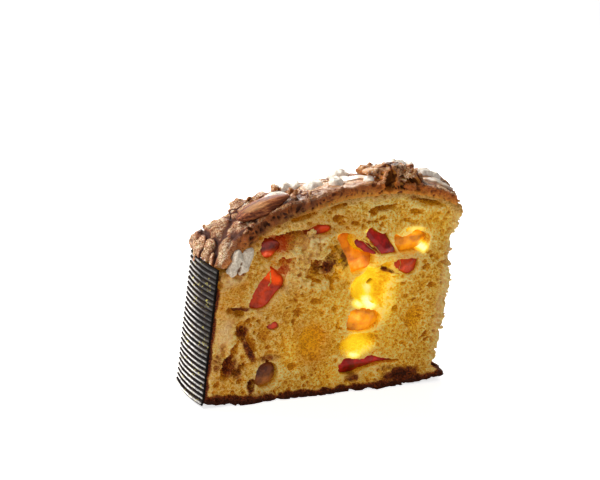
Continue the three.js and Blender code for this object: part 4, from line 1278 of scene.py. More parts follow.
def shape_glaze(random):
    dough = Dough((-73, -20, 50), (68, 17.5, 111), GLAZE_STEP)
    x, y, z = dough.x, dough.y, dough.z
    w = share_at(x, y)
    dome, top = dome_at(x, w), glaze_top(x, w)
    middle, fine = dough.noise(2.4, 31), dough.noise(1.2, 32)
    value = np.maximum(z - top, front(x, dome - 4) - 0.4 - y)
    value = soft_max(value, y - back(x, dome - 4) - 0.5, 0.8)
    value = np.maximum(value, outer_wall(w, CASE_HEIGHT) - x)
    value = soft_max(value, x - tear_at(w, 96) + 0.8 * middle, 0.6)
    dough.value = (value + 0.5 * np.clip((-53 - x) / 7, 0, 1)).astype(np.float32)
    warp = 0.07 * middle + 0.13 * dough.noise(5, 33)
    for at, radii, lean in GLAZE_LOBES:
        dough.add(at, radii, (0, lean, 0), power=2.3, warp=warp)
    for at, radius in NUT_LUMPS:
        for _ in range(4):
            spot = [c + random.uniform(-1, 1) * radius * 0.8 for c in at]
            spot[2] -= 0.8
            share = random.uniform(0.4, 0.8)
            radii = [radius * share * random.uniform(0.8, 1.2) for _ in range(3)]
            dough.add(spot, radii, (0, random.uniform(-40, 40), 0), power=3, warp=0.07 * middle, blend=0.3)
    break_open_crest(dough, random, middle, fine)
    band = np.abs(dough.value) < 2.5
    points = np.stack([np.broadcast_to(c, band.shape)[band] for c in (x, y, z)], axis=1)
    cracks, skin = crack_depth(points)
    behind_cut = points[:, 1] - front(points[:, 0], points[:, 2])
    cracks = cracks * np.clip((behind_cut - 0.8) / 1.2, 0, 1)
    rough = 1 - 0.75 * skin
    torn = np.clip(1.8 - behind_cut, 0, 1) * np.clip(points[:, 0] / 4 + 15, 0, 1)
    tatters = np.minimum(np.abs(dough.noise(1.7, 35)), np.abs(dough.noise(1.4, 36)))[band]
    slope = np.clip((-54 - points[:, 0]) / 5, 0, 1)
    drawn = slope * dough.noise(1.5, 37, stretch=(1, 1, 3.4))[band]
    relief = rough * ((0.3 - 0.14 * slope) * middle[band] + (0.22 + 0.16 * slope) * fine[band]) + 0.4 * drawn
    relief = relief + 1.3 * torn * (np.clip(tatters / 0.5, 0, 1) - 0.45)
    dough.value[band] += ((1.1 - 0.4 * slope) * cracks**1.8 + relief).astype(np.float32)
    dough.value = np.maximum(dough.value, dome - z)
    inner_wall = outer_wall(w, CASE_HEIGHT)
    dough.carve(np.maximum(z - dome, inner_wall - 0.2 - x))
    rim = CASE_FOOT + CASE_HEIGHT + GAP
    dough.carve(np.maximum(z - rim, inner_wall - 2 * GAP - LINER - RIB_HEIGHT - x))
    scatter_pits(dough, random, 1, False, GLAZE_FRONT_PITS, 0.3 * fine, ((-62, 64), (66, 104)))
    scatter_pits(dough, random, 1, True, GLAZE_BACK_PITS, 0.3 * fine, ((-62, 72), (66, 104)))
    at, _ = topping_place(ALMOND_AT, ALMOND_PROUD)
    dough.cut(at, [s / 2 for s in ALMOND_SIZE], (0, -ALMOND_LEAN, 0), grow=GAP)
    for at, radii, lean in SUGAR_PAIR:
        dough.cut(at, radii, (0, lean, 0), power=3.4, grow=GAP)
    for spot, size, proud in SUGAR.values():
        at, slope = topping_place(spot, proud)
        dough.cut(at, [s / 2 for s in size], (0, slope, 0), power=3, grow=0.2)
    for pool in ICING.values():
        dough.carve(np.maximum(icing_distance(x, y, pool) - GAP, top - ICING_THICKNESS - GAP - z))
    return dough


def glaze_finish():
    """Almond glaze: wrinkled tan plates with painted shade in their clefts and seams, over a brown, crumbly
    cut edge with a painted glow.
    """
    f = Finish("glaze finish", roughness=0.58)
    skin, crack, rise, hollow, smooth = f.painted("skin", "crack", "rise", "hollow", "smooth")
    scorch, burnt, thin = f.painted("scorch", "burnt", "thin")
    grain, tone = f.grain(0.8, detail=4, roughness=0.7), f.grain(5)
    wrinkle, strands = f.web(1.5, 0.08, (1, 1, 0.5)), f.web(1.2, 0.1)
    level = f.plus(rise, f.spread(strands, 0, 1, 0.1, -0.2))
    cut = f.ramp(
        f.plus(level, f.spread(grain, 0.3, 0.7, -0.2, 0.2)),
        (0.0, (222, 162, 68)),
        (0.35, (206, 122, 50)),
        (0.7, (176, 94, 42)),
        (1.0, (134, 68, 36)),
    )
    plate = f.ramp(
        f.plus(f.blend(0.32, tone, grain), f.spread(wrinkle, 0, 1, -0.1, 0.2)),
        (0.3, (98, 48, 24)),
        (0.44, (146, 90, 48)),
        (0.58, (192, 146, 96)),
        (0.76, (242, 220, 188)),
    )
    pale_plate = f.ramp(tone, (0.3, (172, 112, 66)), (0.5, (198, 146, 100)), (0.7, (220, 180, 138)))
    plate = f.blend(smooth, plate, pale_plate)
    colour = f.blend(skin, cut, plate)
    # Orange-brown in the cracks and seams, then painted shade deep in them.
    colour = f.blend(f.spread(crack, 0.05, 0.4, 0, 0.85), colour, tint(150, 74, 30))
    colour = f.blend(f.spread(crack, 0.2, 0.6, 0, 0.95), colour, tint(60, 23, 14))
    # Brown where burnt, and painted shadow beside the sugar nib.
    colour = f.blend(f.times(scorch, 0.8), colour, tint(104, 56, 32))
    # Painted shade in the glaze's clefts and hollows.
    colour = f.blend(f.spread(hollow, 0.34, 0.62, 0, 0.8), colour, tint(84, 42, 26))
    # Painted shade, darkest deep in clefts and in the crest's hollows.
    colour = f.blend(f.spread(f.plus(hollow, burnt), 0.6, 1.0), colour, tint(40, 18, 12))
    f.feed("Base Color", colour)
    f.feed("Roughness", f.spread(skin, 0, 1, 0.75, 0.5))
    # Painted glow: orange light of its own in the cut edge, most where it stands out and where the glaze is
    # thin, none on the skin or where burnt.
    inner = f.times(f.minus(1.0, skin), f.minus(1.0, scorch))
    light = f.times(inner, f.spread(hollow, 0.3, 0.8, 0.1, 0.02))
    light = f.plus(light, f.times(thin, 0.12))
    f.shine(f.blend(light, tint(0, 0, 0), tint(224, 120, 30)))
    f.set(Specular_IOR_Level=0.3)
    f.softness(0.3, 2.2)
    f.bump(f.plus(f.times(wrinkle, 0.6), f.times(grain, 0.6)), 0.6, 0.9)
    return f


def near_any(points, lumps):
    """How near points are to the nearest of some lumps: 1 on its skin, less inside it."""
    nearest = np.full(len(points), 9.0)
    for at, radii, turn in lumps:
        turned = np.array(Euler((0, -math.radians(turn), 0)).to_matrix())
        nearest = np.minimum(nearest, np.linalg.norm((points - at) @ turned / radii, axis=1))
    return nearest


def make_glaze():
    dough = shape_glaze(chance.Random(8))
    piece = dough.mesh("almond_glaze", GLAZE_TRIANGLES, lambda p: np.clip((6 - p[:, 1]) / 8, 0, FINEST))
    points = cake_points(piece)
    x, y, z = points.T
    w = share_at(x, y)
    dome, top = dome_at(x, w), glaze_top(x, w)
    cracks, smooth = crack_depth(points)
    close, wide = (dough.read(dough.fullness(radius), points) for radius in (0.7, 2.2))
    wobble = 0.5 * smooth_noise(x / 2, y / 2, z / 2)
    rise = (z - dome) / (top - dome)
    at_cut = np.clip((front(x, dome - 4) + 0.9 + wobble - y) / 0.8, 0, 1)
    at_cut = np.maximum(at_cut, np.clip((y - back(x, dome - 4) + 0.9) / 0.8, 0, 1))
    off_cut = 1 - at_cut * np.clip((0.96 - rise) / 0.1, 0, 1)
    skin = np.clip((rise - 0.74 + 0.3 * wobble) / 0.2, 0, 1) * off_cut
    skin = np.where(x < -60, 1 - 0.6 * at_cut * (rise < 0.9), skin)
    at_front = np.clip((CUT_Y + 7 - y) / 3, 0, 1)
    broken = np.clip((1.25 - near_any(points, CREST_HEAP) + 0.3 * wobble) / 0.25, 0, 1)
    skin, rise = skin * (1 - broken), np.clip(rise, 0, 1) - 0.8 * broken
    for name, values in {
        "skin": skin,
        # Cracks and seams, for their colour and the painted shade deep in them.
        "crack": cracks * (1 - at_cut),
        "smooth": smooth,
        "rise": rise,
        # How enclosed the glaze is, for painted shade in its clefts and less painted glow there.
        "hollow": 0.42 + 1.3 * (close - 0.5) + 1.3 * (wide - 0.5),
        # Burnt places and painted shadow on the front cut edge.
        "scorch": patches(points, SCORCHES_AND_SHADOWS) * at_front * (1 + 0.4 * smooth_noise(x / 2, y / 2, z / 2)),
        # Painted shade in the crest's hollows.
        "burnt": 0.6 * np.clip((1.3 - near_any(points, CREST_HOLLOWS)) / 0.2, 0, 1),
        # Where the glaze is thin, for its painted glow.
        "thin": np.clip((0.36 - wide) / 0.16, 0, 1),
    }.items():
        paint(piece, name, values)
    return dress(piece, glaze_finish(), "glaze", "almond_glaze")


# ---------------------------------------------------------------- almond, sugar and icing


def dress(piece, finish, slot, *nodes):
    """Gives a piece its finish, hides the solids it stands for and hangs it under the root body."""
    finish.coat(piece)
    if nodes:
        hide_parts(*nodes)
    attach(piece, "root")
    return piece


def almond_finish():
    f = Finish("almond skin finish", roughness=0.55)
    ridge, belly = f.painted("ridge", "belly")
    grain = f.grain(0.7, detail=4, stretch=(7, 1, 1))
    skin = f.ramp(
        f.plus(ridge, f.spread(grain, 0.3, 0.7, -0.3, 0.3)),
        (0.1, (50, 22, 14)),
        (0.4, (106, 50, 28)),
        (0.65, (146, 78, 42)),
        (0.95, (194, 124, 72)),
    )
    f.feed("Base Color", f.blend(belly, skin, tint(206, 160, 108)))
    f.bump(grain, 0.4, 0.7)
    f.set(Specular_IOR_Level=0.25)
    return f


def make_almond():
    """The whole almond: blunt at its left end, pointed at its right, with lengthwise ridges."""
    around, along = 128, 84
    at, _ = topping_place(ALMOND_AT, ALMOND_PROUD)
    u = np.linspace(0, math.pi, along + 1)[1:-1]
    t = np.arange(around) / around * 2 * math.pi
    u, t = (a.ravel() for a in np.meshgrid(u, t, indexing="ij"))
    a = -np.cos(u)
    ring = np.sin(u) ** 0.92
    taper = 1 - 0.4 * np.maximum(a, 0) ** 1.5
    furrows = smooth_noise(np.cos(t) * 3.4, np.sin(t) * 3.4, a * 0.7) * 0.6
    furrows = furrows + 0.4 * smooth_noise(np.cos(t) * 8, np.sin(t) * 8, a * 1.2 + 4)
    ring = ring * taper * (1 + 0.075 * furrows)
    unit = np.stack([a, ring * np.cos(t), ring * np.sin(t)], axis=1)
    unit = np.vstack([unit, [[-1, 0, 0], [1, 0, 0]]])
    count = along - 1
    faces = []
    n = np.arange(around)
    m = (n + 1) % around
    for r in range(count - 1):
        low, high = r * around, (r + 1) * around
        faces += [np.stack([low + n, high + n, low + m], 1), np.stack([low + m, high + n, high + m], 1)]
    left, right = count * around, count * around + 1
    faces += [np.stack([np.full(around, left), n, m], 1)]
    last = (count - 1) * around
    faces += [np.stack([np.full(around, right), last + m, last + n], 1)]
    faces = np.concatenate(faces)
    turn = np.array(Euler((0, -math.radians(ALMOND_LEAN), 0)).to_matrix())
    points = (unit * np.array(ALMOND_SIZE) / 2) @ turn.T + at
    if volume_of(points, faces) < 0:
        faces = faces[:, ::-1]
    piece = placed("almond", mesh_from("almond", points, faces))
    paint(piece, "ridge", 0.5 + 0.5 * np.append(furrows, [0, 0]))
    upper = np.clip((unit[:, 2] - 0.52) / 0.2, 0, 1) * np.clip((0.25 - unit[:, 0]) / 0.5, 0, 1)
    upper = upper * np.clip((unit[:, 0] + 0.9) / 0.3, 0, 1) * np.clip((0.2 - unit[:, 1]) / 0.3, 0, 1)
    paint(piece, "belly", 0.45 * upper)
    dress(piece, almond_finish(), "almond_skin", "almond")


def sugar_finish():
    """White sugar in coarse grains, tan at random and with painted shade in its folds; the lumps on top have
    a painted glow, and the front pair, without it, is painted a little darker.
    """
    f = Finish("sugar finish", roughness=0.5)
    fold, painted_lit = f.painted("fold", "light")
    grain, tone = f.grain(0.8, roughness=0.6), f.grain(3.2, detail=2)
    white = f.ramp(grain, (0.3, (198, 184, 162)), (0.5, (230, 220, 204)), (0.7, (248, 244, 236)))
    # Tan at random, and painted shade in the folds.
    stain_and_shade = f.plus(f.spread(tone, 0.55, 0.75, 0, 0.4), f.spread(fold, 0.36, 0.62, 0, 0.85))
    # Painted shade: the front pair, which has no painted light, a little darker and warmer.
    shaded = f.blend(f.minus(1.0, painted_lit), white, tint(250, 244, 236), "MULTIPLY")
    f.feed("Base Color", f.blend(stain_and_shade, shaded, tint(140, 98, 66)))
    # Painted glow on the lumps on top.
    f.shine(f.blend(f.times(painted_lit, 0.12), tint(0, 0, 0), tint(255, 250, 244)))
    f.bump(f.plus(f.grain(1.6, stretch=(1, 1, 3)), grain), 0.6, 0.8)
    f.softness(0.4, 1.5, (1.0, 0.9, 0.8))
    return f


def lumpy_piece(name, lumps, power, seed, step=0.32, faces=14000, roughness=1.0):
    """One knobbly lump from a few rounded ones: place, radii, turn about Y."""
    places = np.array([at for at, _, _ in lumps])
    reach = max(max(radii) for _, radii, _ in lumps) + 1.5
    dough = Dough(places.min(axis=0) - reach, places.max(axis=0) + reach, step)
    warp = roughness * (0.1 * dough.noise(2.2, seed) + 0.07 * dough.noise(0.9, seed + 1))
    for at, radii, turn in lumps:
        dough.add(at, radii, (0, turn, 0), power=power, warp=warp, blend=0.8)
    return dough, dough.mesh(name, faces)


def make_sugar():
    finish = sugar_finish()
    seam = ((-57, -13.4, 68.6), (2.4, 1.4, 4), 12)
    dough, pair = lumpy_piece("sugar_pair_front", [*SUGAR_PAIR, seam], 3.2, 50, faces=20000, roughness=1.5)
    points = cake_points(pair)
    # Painted shade in the fold between the two nibs, and darker at their foot.
    paint(pair, "fold", dough.read(dough.fullness(1.2), points) * 2.6 - 1.0 + 0.3 * (points[:, 2] < 66))
    dress(pair, finish, "sugar", "sugar_pair_front")
    random = chance.Random(12)
    for n, (name, (spot, size, proud)) in enumerate(SUGAR.items()):
        (x, y, z), slope = topping_place(spot, proud)
        lumps = []
        for part in (-0.3, 0.02, 0.3):
            along = part * size[0]
            drop = along * math.tan(math.radians(slope)) + random.uniform(0, 0.22) * size[2]
            at = (x + along, y + random.uniform(-0.16, 0.16) * size[1], z - drop)
            radii = [s * random.uniform(*span) for s, span in zip(size, NIB_RADII)]
            lumps.append((at, radii, slope + random.uniform(-30, 30)))
        dough, lump = lumpy_piece(name, lumps, 2.8, 60 + 3 * n, faces=9000, roughness=1.8)
        # Painted shade in the folds, and painted light on every lump on top.
        paint(lump, "fold", dough.read(dough.fullness(0.9), cake_points(lump)) * 1.6 - 0.5)
        paint(lump, "light", np.ones(len(lump.data.vertices)))
        dress(lump, finish, "sugar", name)
    return finish


def icing_finish():
    f = Finish("icing finish", roughness=0.4)
    tone, grain, thin = f.grain(4), f.grain(0.9), f.painted("thin")
    white = f.ramp(tone, (0.36, (222, 196, 168)), (0.48, (236, 222, 204)), (0.6, (247, 242, 234)))
    f.feed("Base Color", f.blend(f.times(thin, 0.7), white, tint(200, 156, 120)))
    # Painted glow: a little white light of its own, less towards the thin rim.
    f.shine(f.blend(f.spread(thin, 0.2, 1, 0.06, 0.0), tint(0, 0, 0), tint(255, 248, 240)))
    f.bump(grain, 0.3, 0.5)
    f.softness(0.3, 1, (1.0, 0.8, 0.6))
    return f


def make_icing():
    finish = icing_finish()
    for name, pool in ICING.items():
        (cx, cy), (length, _), _, _ = pool
        low_x, high_x = cx - length * 0.65, cx + length * 0.65
        levels = [float(glaze_top(x, share_at(x, cy))) for x in (low_x, cx, high_x)]
        dough = Dough((low_x, cy - 9, min(levels) - 5), (high_x, cy + 9, max(levels) + 5), ICING_STEP)
        top = glaze_top(dough.x, share_at(dough.x, dough.y))
        top = top + 0.4 * dough.noise(2.4, 71) + 0.25 * dough.noise(6, 72)
        rim = icing_distance(dough.x, dough.y, pool)
        dough.value = soft_max(rim, dough.z - top - ICING_THICKNESS * 0.5, 0.6)
        dough.value = soft_max(dough.value, top - ICING_THICKNESS - dough.z, 0.4).astype(np.float32)
        piece = dough.mesh(name, ICING_TRIANGLES)
        points = cake_points(piece)
        paint(piece, "thin", np.clip(1 + icing_distance(points[:, 0], points[:, 1], pool) / 1.4, 0, 1))
        dress(piece, finish, "icing", name)


# ---------------------------------------------------------------- candied fruit


def candied_finish(name, deep, body, bright, roughness=0.2):
    """Wet candied fruit: its body colour, deep colour at random and as painted shade in its folds, and a
    painted glow where light would come through.
    """
    f = Finish(name, roughness)
    light, fold = f.painted("light", "fold")
    tone, fine = f.grain(3.2), f.grain(0.8)
    colour = f.blend(f.spread(tone, 0.4, 0.62, 0, 0.7), tint(*body), tint(*deep))
    # Painted shade in the folds.
    colour = f.blend(f.spread(fold, 0.4, 1, 0, 0.8), colour, tint(*deep))
    f.feed("Base Color", colour)
    # Painted glow where light would come through.
    through = f.plus(light, f.spread(tone, 0.3, 0.7, 0.08, -0.08))
    half, white = [0.66 * c for c in bright], [min(255, c + 70) for c in bright]
    glow = f.ramp(through, (0.0, (4, 0, 0)), (0.45, half), (0.75, bright), (1.0, white))
    f.shine(glow)
    f.set(Coat_Weight=0.15, Coat_Roughness=0.08, Specular_IOR_Level=0.25)
    f.softness(0.4, 2, (1.0, 0.3, 0.08))
    f.bump(f.plus(tone, f.times(fine, 0.3)), 0.6, 0.6)
    return f


FRUIT_STEP = 0.32
FRUIT_TRIANGLES = 16000

# Which finish each piece of fruit has, and where it has a painted glow on the cut face, in place of light
# coming through.
FRUIT_LOOKS = {
    "cherry_peel": ("cherry", [((18, 77), (8, 5), -30, 0.4), ((24, 69), (5, 2), 0, 0.3)]),
    "cherry_sliver": ("cherry", [((12, 71), (7, 2), -34, 0.5)]),
    "cherry_strip": ("cherry", [((25, 13.6), (14, 2), 0, 0.55), ((9, 12), (2.4, 3), 20, 0.4)]),
    "orange_jelly_right": (
        "amber",
        [((46.6, 71), (3, 3.6), 30, 1.0), ((38, 76.6), (9, 1.8), 0, 0.8), ((39, 71), (9, 5), 0, 0.6)],
    ),
    "orange_jelly_left": (
        "jelly",
        [((-2, 77.4), (3, 2), 0, 1.0), ((11, 62), (8, 5), 0, 0.86), ((2, 74), (5, 5), 0, 0.5),
         ((9, 68), (8, 7), 0, 0.6)],
    ),
    "amber_dice": ("amber", [((13, 36.4), (6, 4), 0, 0.86), ((19, 34), (9, 6), 0, 0.7)]),
    "orange_dice_right": ("red orange", [((37, 60.4), (7, 4), 0, 0.5)]),
    "orange_dice_left": (
        "red orange",
        [((-37, 60.6), (5, 3.4), -20, 0.95), ((-34, 58), (4, 3), 0, 0.7), ((-42, 52), (7, 7), 0, 0.4)],
    ),
    "orange_dice_high": ("dark orange", [((-40, 70.4), (5, 2.6), 0, 0.9)]),
    "orange_chip": ("dark orange", [((-13, 82), (5, 2), 0, 0.7)]),
    "orange_bit": ("dark orange", [((-33, 36.4), (3, 2), 0, 0.6)]),
    "soaked_raisin": ("raisin", [((-34, 9), (5, 4), 0, 0.5)]),
}
# Each finish's slot and colours: deep, at random and as painted shade in the folds, the body, and the painted
# glow where light would come through.
CANDIED = {
    "cherry": ("candied_cherry", (92, 6, 6), (160, 16, 12), (166, 22, 12)),
    "amber": ("candied_orange_pale", (196, 84, 6), (222, 136, 14), (226, 142, 10)),
    "jelly": ("candied_orange_pale", (190, 60, 6), (214, 104, 12), (228, 134, 10)),
    "red orange": ("candied_orange_red", (130, 20, 10), (176, 34, 14), (216, 74, 12)),
    "dark orange": ("candied_orange_red", (90, 16, 8), (144, 34, 14), (176, 50, 12)),
    "raisin": ("raisin", (74, 28, 10), (128, 62, 24), (136, 78, 26)),
}


def make_fruit():
    finishes = {
        look: candied_finish(f"candied {look} finish", *colours)
        for look, (_, *colours) in CANDIED.items()
    }
    for n, (name, (outline, deep, inset, rounding, folds)) in enumerate(FRUIT_SHAPES.items()):
        look, lights = FRUIT_LOOKS[name]
        corners = np.array(outline, float)
        near = fruit_front(name) + inset
        low = (corners[:, 0].min() - 2, near - 2.5, corners[:, 1].min() - 2)
        high = (corners[:, 0].max() + 2, near + deep + 2, corners[:, 1].max() + 2)
        dough = Dough(low, high, FRUIT_STEP)
        skin = near + 0 * dough.x * dough.z
        for (fx, fz), turn, first, second in folds:
            a = math.radians(turn)
            across = (dough.z - fz) * math.cos(a) - (dough.x - fx) * math.sin(a)
            skin = skin + np.where(across > 0, first * across, -second * across)
        swell = 0.3 * dough.noise(3.4, 80 + n) + 0.1 * dough.noise(1.2, 120 + n)
        side = outline_distance(outline, dough.x, dough.z) - 0.4 * rounding + 0.25 * dough.noise(1.6, 160 + n)
        for other in ("cherry_peel", "cherry_sliver"):
            if look in ("amber", "jelly") or (name, other) == ("cherry_sliver", "cherry_peel"):
                side = np.maximum(side, 2 * GAP - outline_distance(FRUIT_SHAPES[other][0], dough.x, dough.z))
        value = soft_max(side, skin - dough.y - 0.2 * rounding, rounding)
        value = soft_max(value, dough.y - near - deep, rounding)
        dough.value = (value + swell * min(1, rounding)).astype(np.float32)
        piece = dough.mesh(name, FRUIT_TRIANGLES)
        points = cake_points(piece)
        at_front = np.clip(1.3 - (points[:, 1] - near) / (0.8 * deep), 0, 1)
        # Painted glow on the cut face, weaker further in.
        paint(piece, "light", patches(points, lights) * (0.5 + 0.5 * at_front))
        # Painted shade in the folds.
        paint(piece, "fold", dough.read(dough.fullness(1.2), points) * 1.4 - 0.4)
        dress(piece, finishes[look], CANDIED[look][0], name)


# ---------------------------------------------------------------- ribbed paper case

LEVELS_PER_RIB = 10
SHEET_COLUMNS = 49
HEM_HEIGHT = 4.0


class Rule(Group):
    """A Geometry Nodes tree built node by node, with named inputs for its sizes."""

    def __init__(self, name, sizes):
        super().__init__(name, "GeometryNodeTree", {"Geometry": None, **sizes}, {"Geometry": None})

    def store(self, geometry, name, value):
        inputs = {"Geometry": geometry, "Name": name, "Value": value}
        return self.node("GeometryNodeStoreNamedAttribute", inputs=inputs, data_type="FLOAT", domain="POINT")

    def build(self, geometry, material):
        """The finished geometry: instances made real and given their material."""
        solid = self.node("GeometryNodeRealizeInstances", inputs={"Geometry": geometry})
        solid = self.node("GeometryNodeSetMaterial", inputs={"Geometry": solid, "Material": material})
        self.tree.links.new(solid, self.result["Geometry"])

    def make(self, name, start=None):
        """A plain piece from the tree, grown from a start mesh, with the tree's inputs set to their sizes."""
        piece = placed(name, start or bpy.data.meshes.new(name))
        modifier = piece.modifiers.new(name, "NODES")
        modifier.node_group = self.tree
        for item in self.tree.interface.items_tree:
            if item.in_out == "INPUT" and self.sizes[item.name] is not None:
                modifier[item.identifier] = self.sizes[item.name]
        finished(piece)
        return piece


def case_finish():
    """Dark brown ribbed paper with painted near-white highlights on its rib crests, brighter low down and
    away from the front cut, and a few gold flecks on them.
    """
    f = Finish("case paper finish", roughness=0.6)
    crest, along, up = f.painted("crest", "along", "up")
    streak = f.grain(2.2, detail=4, roughness=0.75, stretch=(1, 1, 0.25))
    patch = f.grain(7, detail=2)
    # Painted highlight on the rib crests, in broken streaks.
    crest_highlight = f.times(f.spread(streak, 0.36, 0.6, 0.3, 1.1), f.spread(crest, 0.8, 0.98))
    # The painted highlight is brighter low down and away from the front cut.
    painted_lit = f.plus(f.spread(along, 0.0, 0.8, 0.12, 1.0), f.spread(up, 0.1, 1.0, 0.3, -0.5))
    painted_lit = f.times(crest_highlight, f.spread(painted_lit, 0.0, 1.0, 0.08, 1.0))
    dark = f.blend(f.spread(patch, 0.4, 0.6), tint(14, 8, 6), tint(28, 17, 13))
    # Painted highlight: near-white on the lit crests.
    colour = f.blend(painted_lit, dark, tint(252, 248, 244))
    gold = f.times(f.spread(f.grain(1.6, detail=2), 0.58, 0.66), f.spread(patch, 0.5, 0.58))
    gold = f.times(gold, f.spread(crest, 0.4, 0.8))
    f.feed("Base Color", f.blend(f.times(gold, 0.75), colour, tint(196, 184, 92)))
    f.feed("Roughness", f.spread(crest, 0.2, 0.9, 0.7, 0.4))
    f.set(Specular_IOR_Level=0.06)
    f.bump(f.grain(0.5), 0.15, 0.5)
    return f


def case_rule(material):
    """A sheet bent round the outer end: flat inside, level rounded ribs outside."""
    rule = Rule(
        "ribbed paper",
        {
            "Ribs": RIB_COUNT, "Pitch": RIB_PITCH, "Rib height": RIB_HEIGHT, "Liner": LINER,
            "Clearance": GAP, "Wall": LEFT, "Depth": OUTER_DEPTH, "Bulge": WALL_BULGE, "Turn": WALL_TURN,
            "Flare": WALL_FLARE, "Hem flare": HEM_FLARE, "Foot": CASE_FOOT, "Material": material,
        },
    )
    size, calc = rule.given, rule.math
    plus, minus, times, over = rule.plus, rule.minus, rule.times, rule.over
    levels = plus(times(size["Ribs"], LEVELS_PER_RIB), 1)
    counts = {"Vertices X": 2, "Vertices Y": SHEET_COLUMNS, "Vertices Z": levels}
    sheet = rule.node("GeometryNodeMeshCube", inputs=counts)
    place = rule.node("GeometryNodeInputPosition")
    split = rule.tree.nodes.new("ShaderNodeSeparateXYZ")
    rule.tree.links.new(place, split.inputs[0])
    across, deep, level = split.outputs
    outside = calc("LESS_THAN", across, 0.0)
    w, share = plus(deep, 0.5), plus(level, 0.5)
    height = times(size["Ribs"], size["Pitch"])
    up = times(share, height)
    wave = calc("ABSOLUTE", calc("SINE", times(over(up, size["Pitch"]), math.pi)))
    crest = times(calc("POWER", wave, 0.8), outside)
    crinkle = rule.node("ShaderNodeTexNoise", "Fac", {"Vector": place, "Scale": 9.0, "Detail": 3.0})
    crinkle = times(minus(crinkle, 0.5), 0.5)
    ribs = times(crest, times(size["Rib height"], plus(crinkle, 0.92)))
    out = plus(size["Clearance"], times(outside, size["Liner"]))
    hem = minus(1.0, over(up, HEM_HEIGHT))
    hem = calc("POWER", calc("MAXIMUM", hem, 0.0), 2.0)
    out = plus(plus(out, ribs), times(hem, size["Hem flare"]))
    bend = times(size["Bulge"], 4.0)
    lean = times(size["Flare"], calc("SQRT", calc("MAXIMUM", share, 0.0)))
    wall = minus(size["Wall"], lean)
    wall = minus(wall, times(bend, times(w, minus(1.0, w))))
    wall = plus(wall, times(size["Turn"], w))
    spread = minus(1.0, times(w, 2.0))
    heading = over(minus(size["Turn"], times(bend, spread)), size["Depth"])
    length = calc("SQRT", plus(1.0, times(heading, heading)))
    offset = over(out, length)
    y = plus(times(size["Depth"], w), times(offset, heading))
    x, z = minus(wall, offset), plus(size["Foot"], up)
    metres = [
        times(plus(value, start), MM)
        for value, start in zip((x, y, z), (TO_ROW[0], TO_ROW[1] + CUT_Y, TO_ROW[2]))
    ]
    bent = rule.node("ShaderNodeCombineXYZ", inputs=dict(enumerate(metres)))
    sheet = rule.store(sheet, "crest", crest)
    sheet = rule.store(sheet, "along", w)
    sheet = rule.store(sheet, "up", share)
    sheet = rule.node("GeometryNodeSetPosition", inputs={"Geometry": sheet, "Position": bent})
    rule.build(sheet, size["Material"])
    return rule


def make_case():
    finish = case_finish()
    piece = case_rule(finish.material).make("paper_case")
    piece.data.shade_smooth()
    dress(piece, finish, "case_paper", "paper_case")


# ---------------------------------------------------------------- loose crumbs, sugar grains and fibres

# Fibres of crumb and peel drawn across the fruit and the hollows: their points on the cut face, Y and radius.
FIBRES = [
    ([(8, 77), (12.6, 74.4), (16.4, 72), (19.4, 69.2)], -17.2, 0.22),
    ([(7.4, 76.6), (12.2, 72.8), (16.4, 70.4), (19.2, 68.4)], -16.8, 0.16),
    ([(-41.4, 64), (-40.6, 61), (-40.3, 59), (-41.4, 57.4)], -17, 0.26),
    ([(-28, 79.4), (-30, 77.4), (-33, 76.6)], -16, 0.16), ([(31, 66.6), (33, 63), (32.4, 60)], -16.4, 0.14),
    ([(26.8, 60.8), (30, 58.4), (33.4, 57.6)], -16, 0.18),
    ([(-12.6, 71.6), (-9, 69), (-7.4, 65)], -16.4, 0.16),
    ([(65, 82.4), (68, 81.4), (69.4, 81.8)], -12, 0.18), ([(63, 33.2), (65, 33.4), (67, 34.2)], -14, 0.34),
]
# Loose crumbs and grains of sugar: how many a square metre where they lie thickest, and their sizes.
CRUMBS_PER_SQUARE_METRE, LOOSE_CRUMB_SIZES = 30000, (0.5, 1.3)
GRAINS_PER_SQUARE_METRE, SUGAR_GRAIN_SIZES = 110000, (0.5, 1.2)


def scatter_rule(name, grain, material):
    """Strews grains of one shape over a piece, thick where its 'strewn' value is high."""
    sizes = {"Grains per square metre": 1.0, "Smallest": 1.0, "Largest": 1.0, "Seed": 0, "Grain": grain}
    rule = Rule(name, {**sizes, "Material": material})
    size = rule.given
    thickness = rule.node("GeometryNodeInputNamedAttribute", inputs={"Name": "strewn"}, data_type="FLOAT")
    density = rule.times(size["Grains per square metre"], thickness)
    inputs = {"Mesh": size["Geometry"], "Density": density, "Seed": size["Seed"]}
    spots = rule.node("GeometryNodeDistributePointsOnFaces", "Points", inputs)
    shape = rule.node("GeometryNodeObjectInfo", "Geometry", {"Object": size["Grain"]})
    turns = {"Min": (0.0, 0.0, 0.0), "Max": (6.283, 6.283, 6.283), "Seed": size["Seed"]}
    turn = rule.node("FunctionNodeRandomValue", "Value", turns, data_type="FLOAT_VECTOR")
    spans = {2: size["Smallest"], 3: size["Largest"], "Seed": size["Seed"]}
    scale = rule.node("FunctionNodeRandomValue", 1, spans, data_type="FLOAT")
    inputs = {"Points": spots, "Instance": shape, "Rotation": turn, "Scale": scale}
    rule.build(rule.node("GeometryNodeInstanceOnPoints", "Instances", inputs), size["Material"])
    return rule


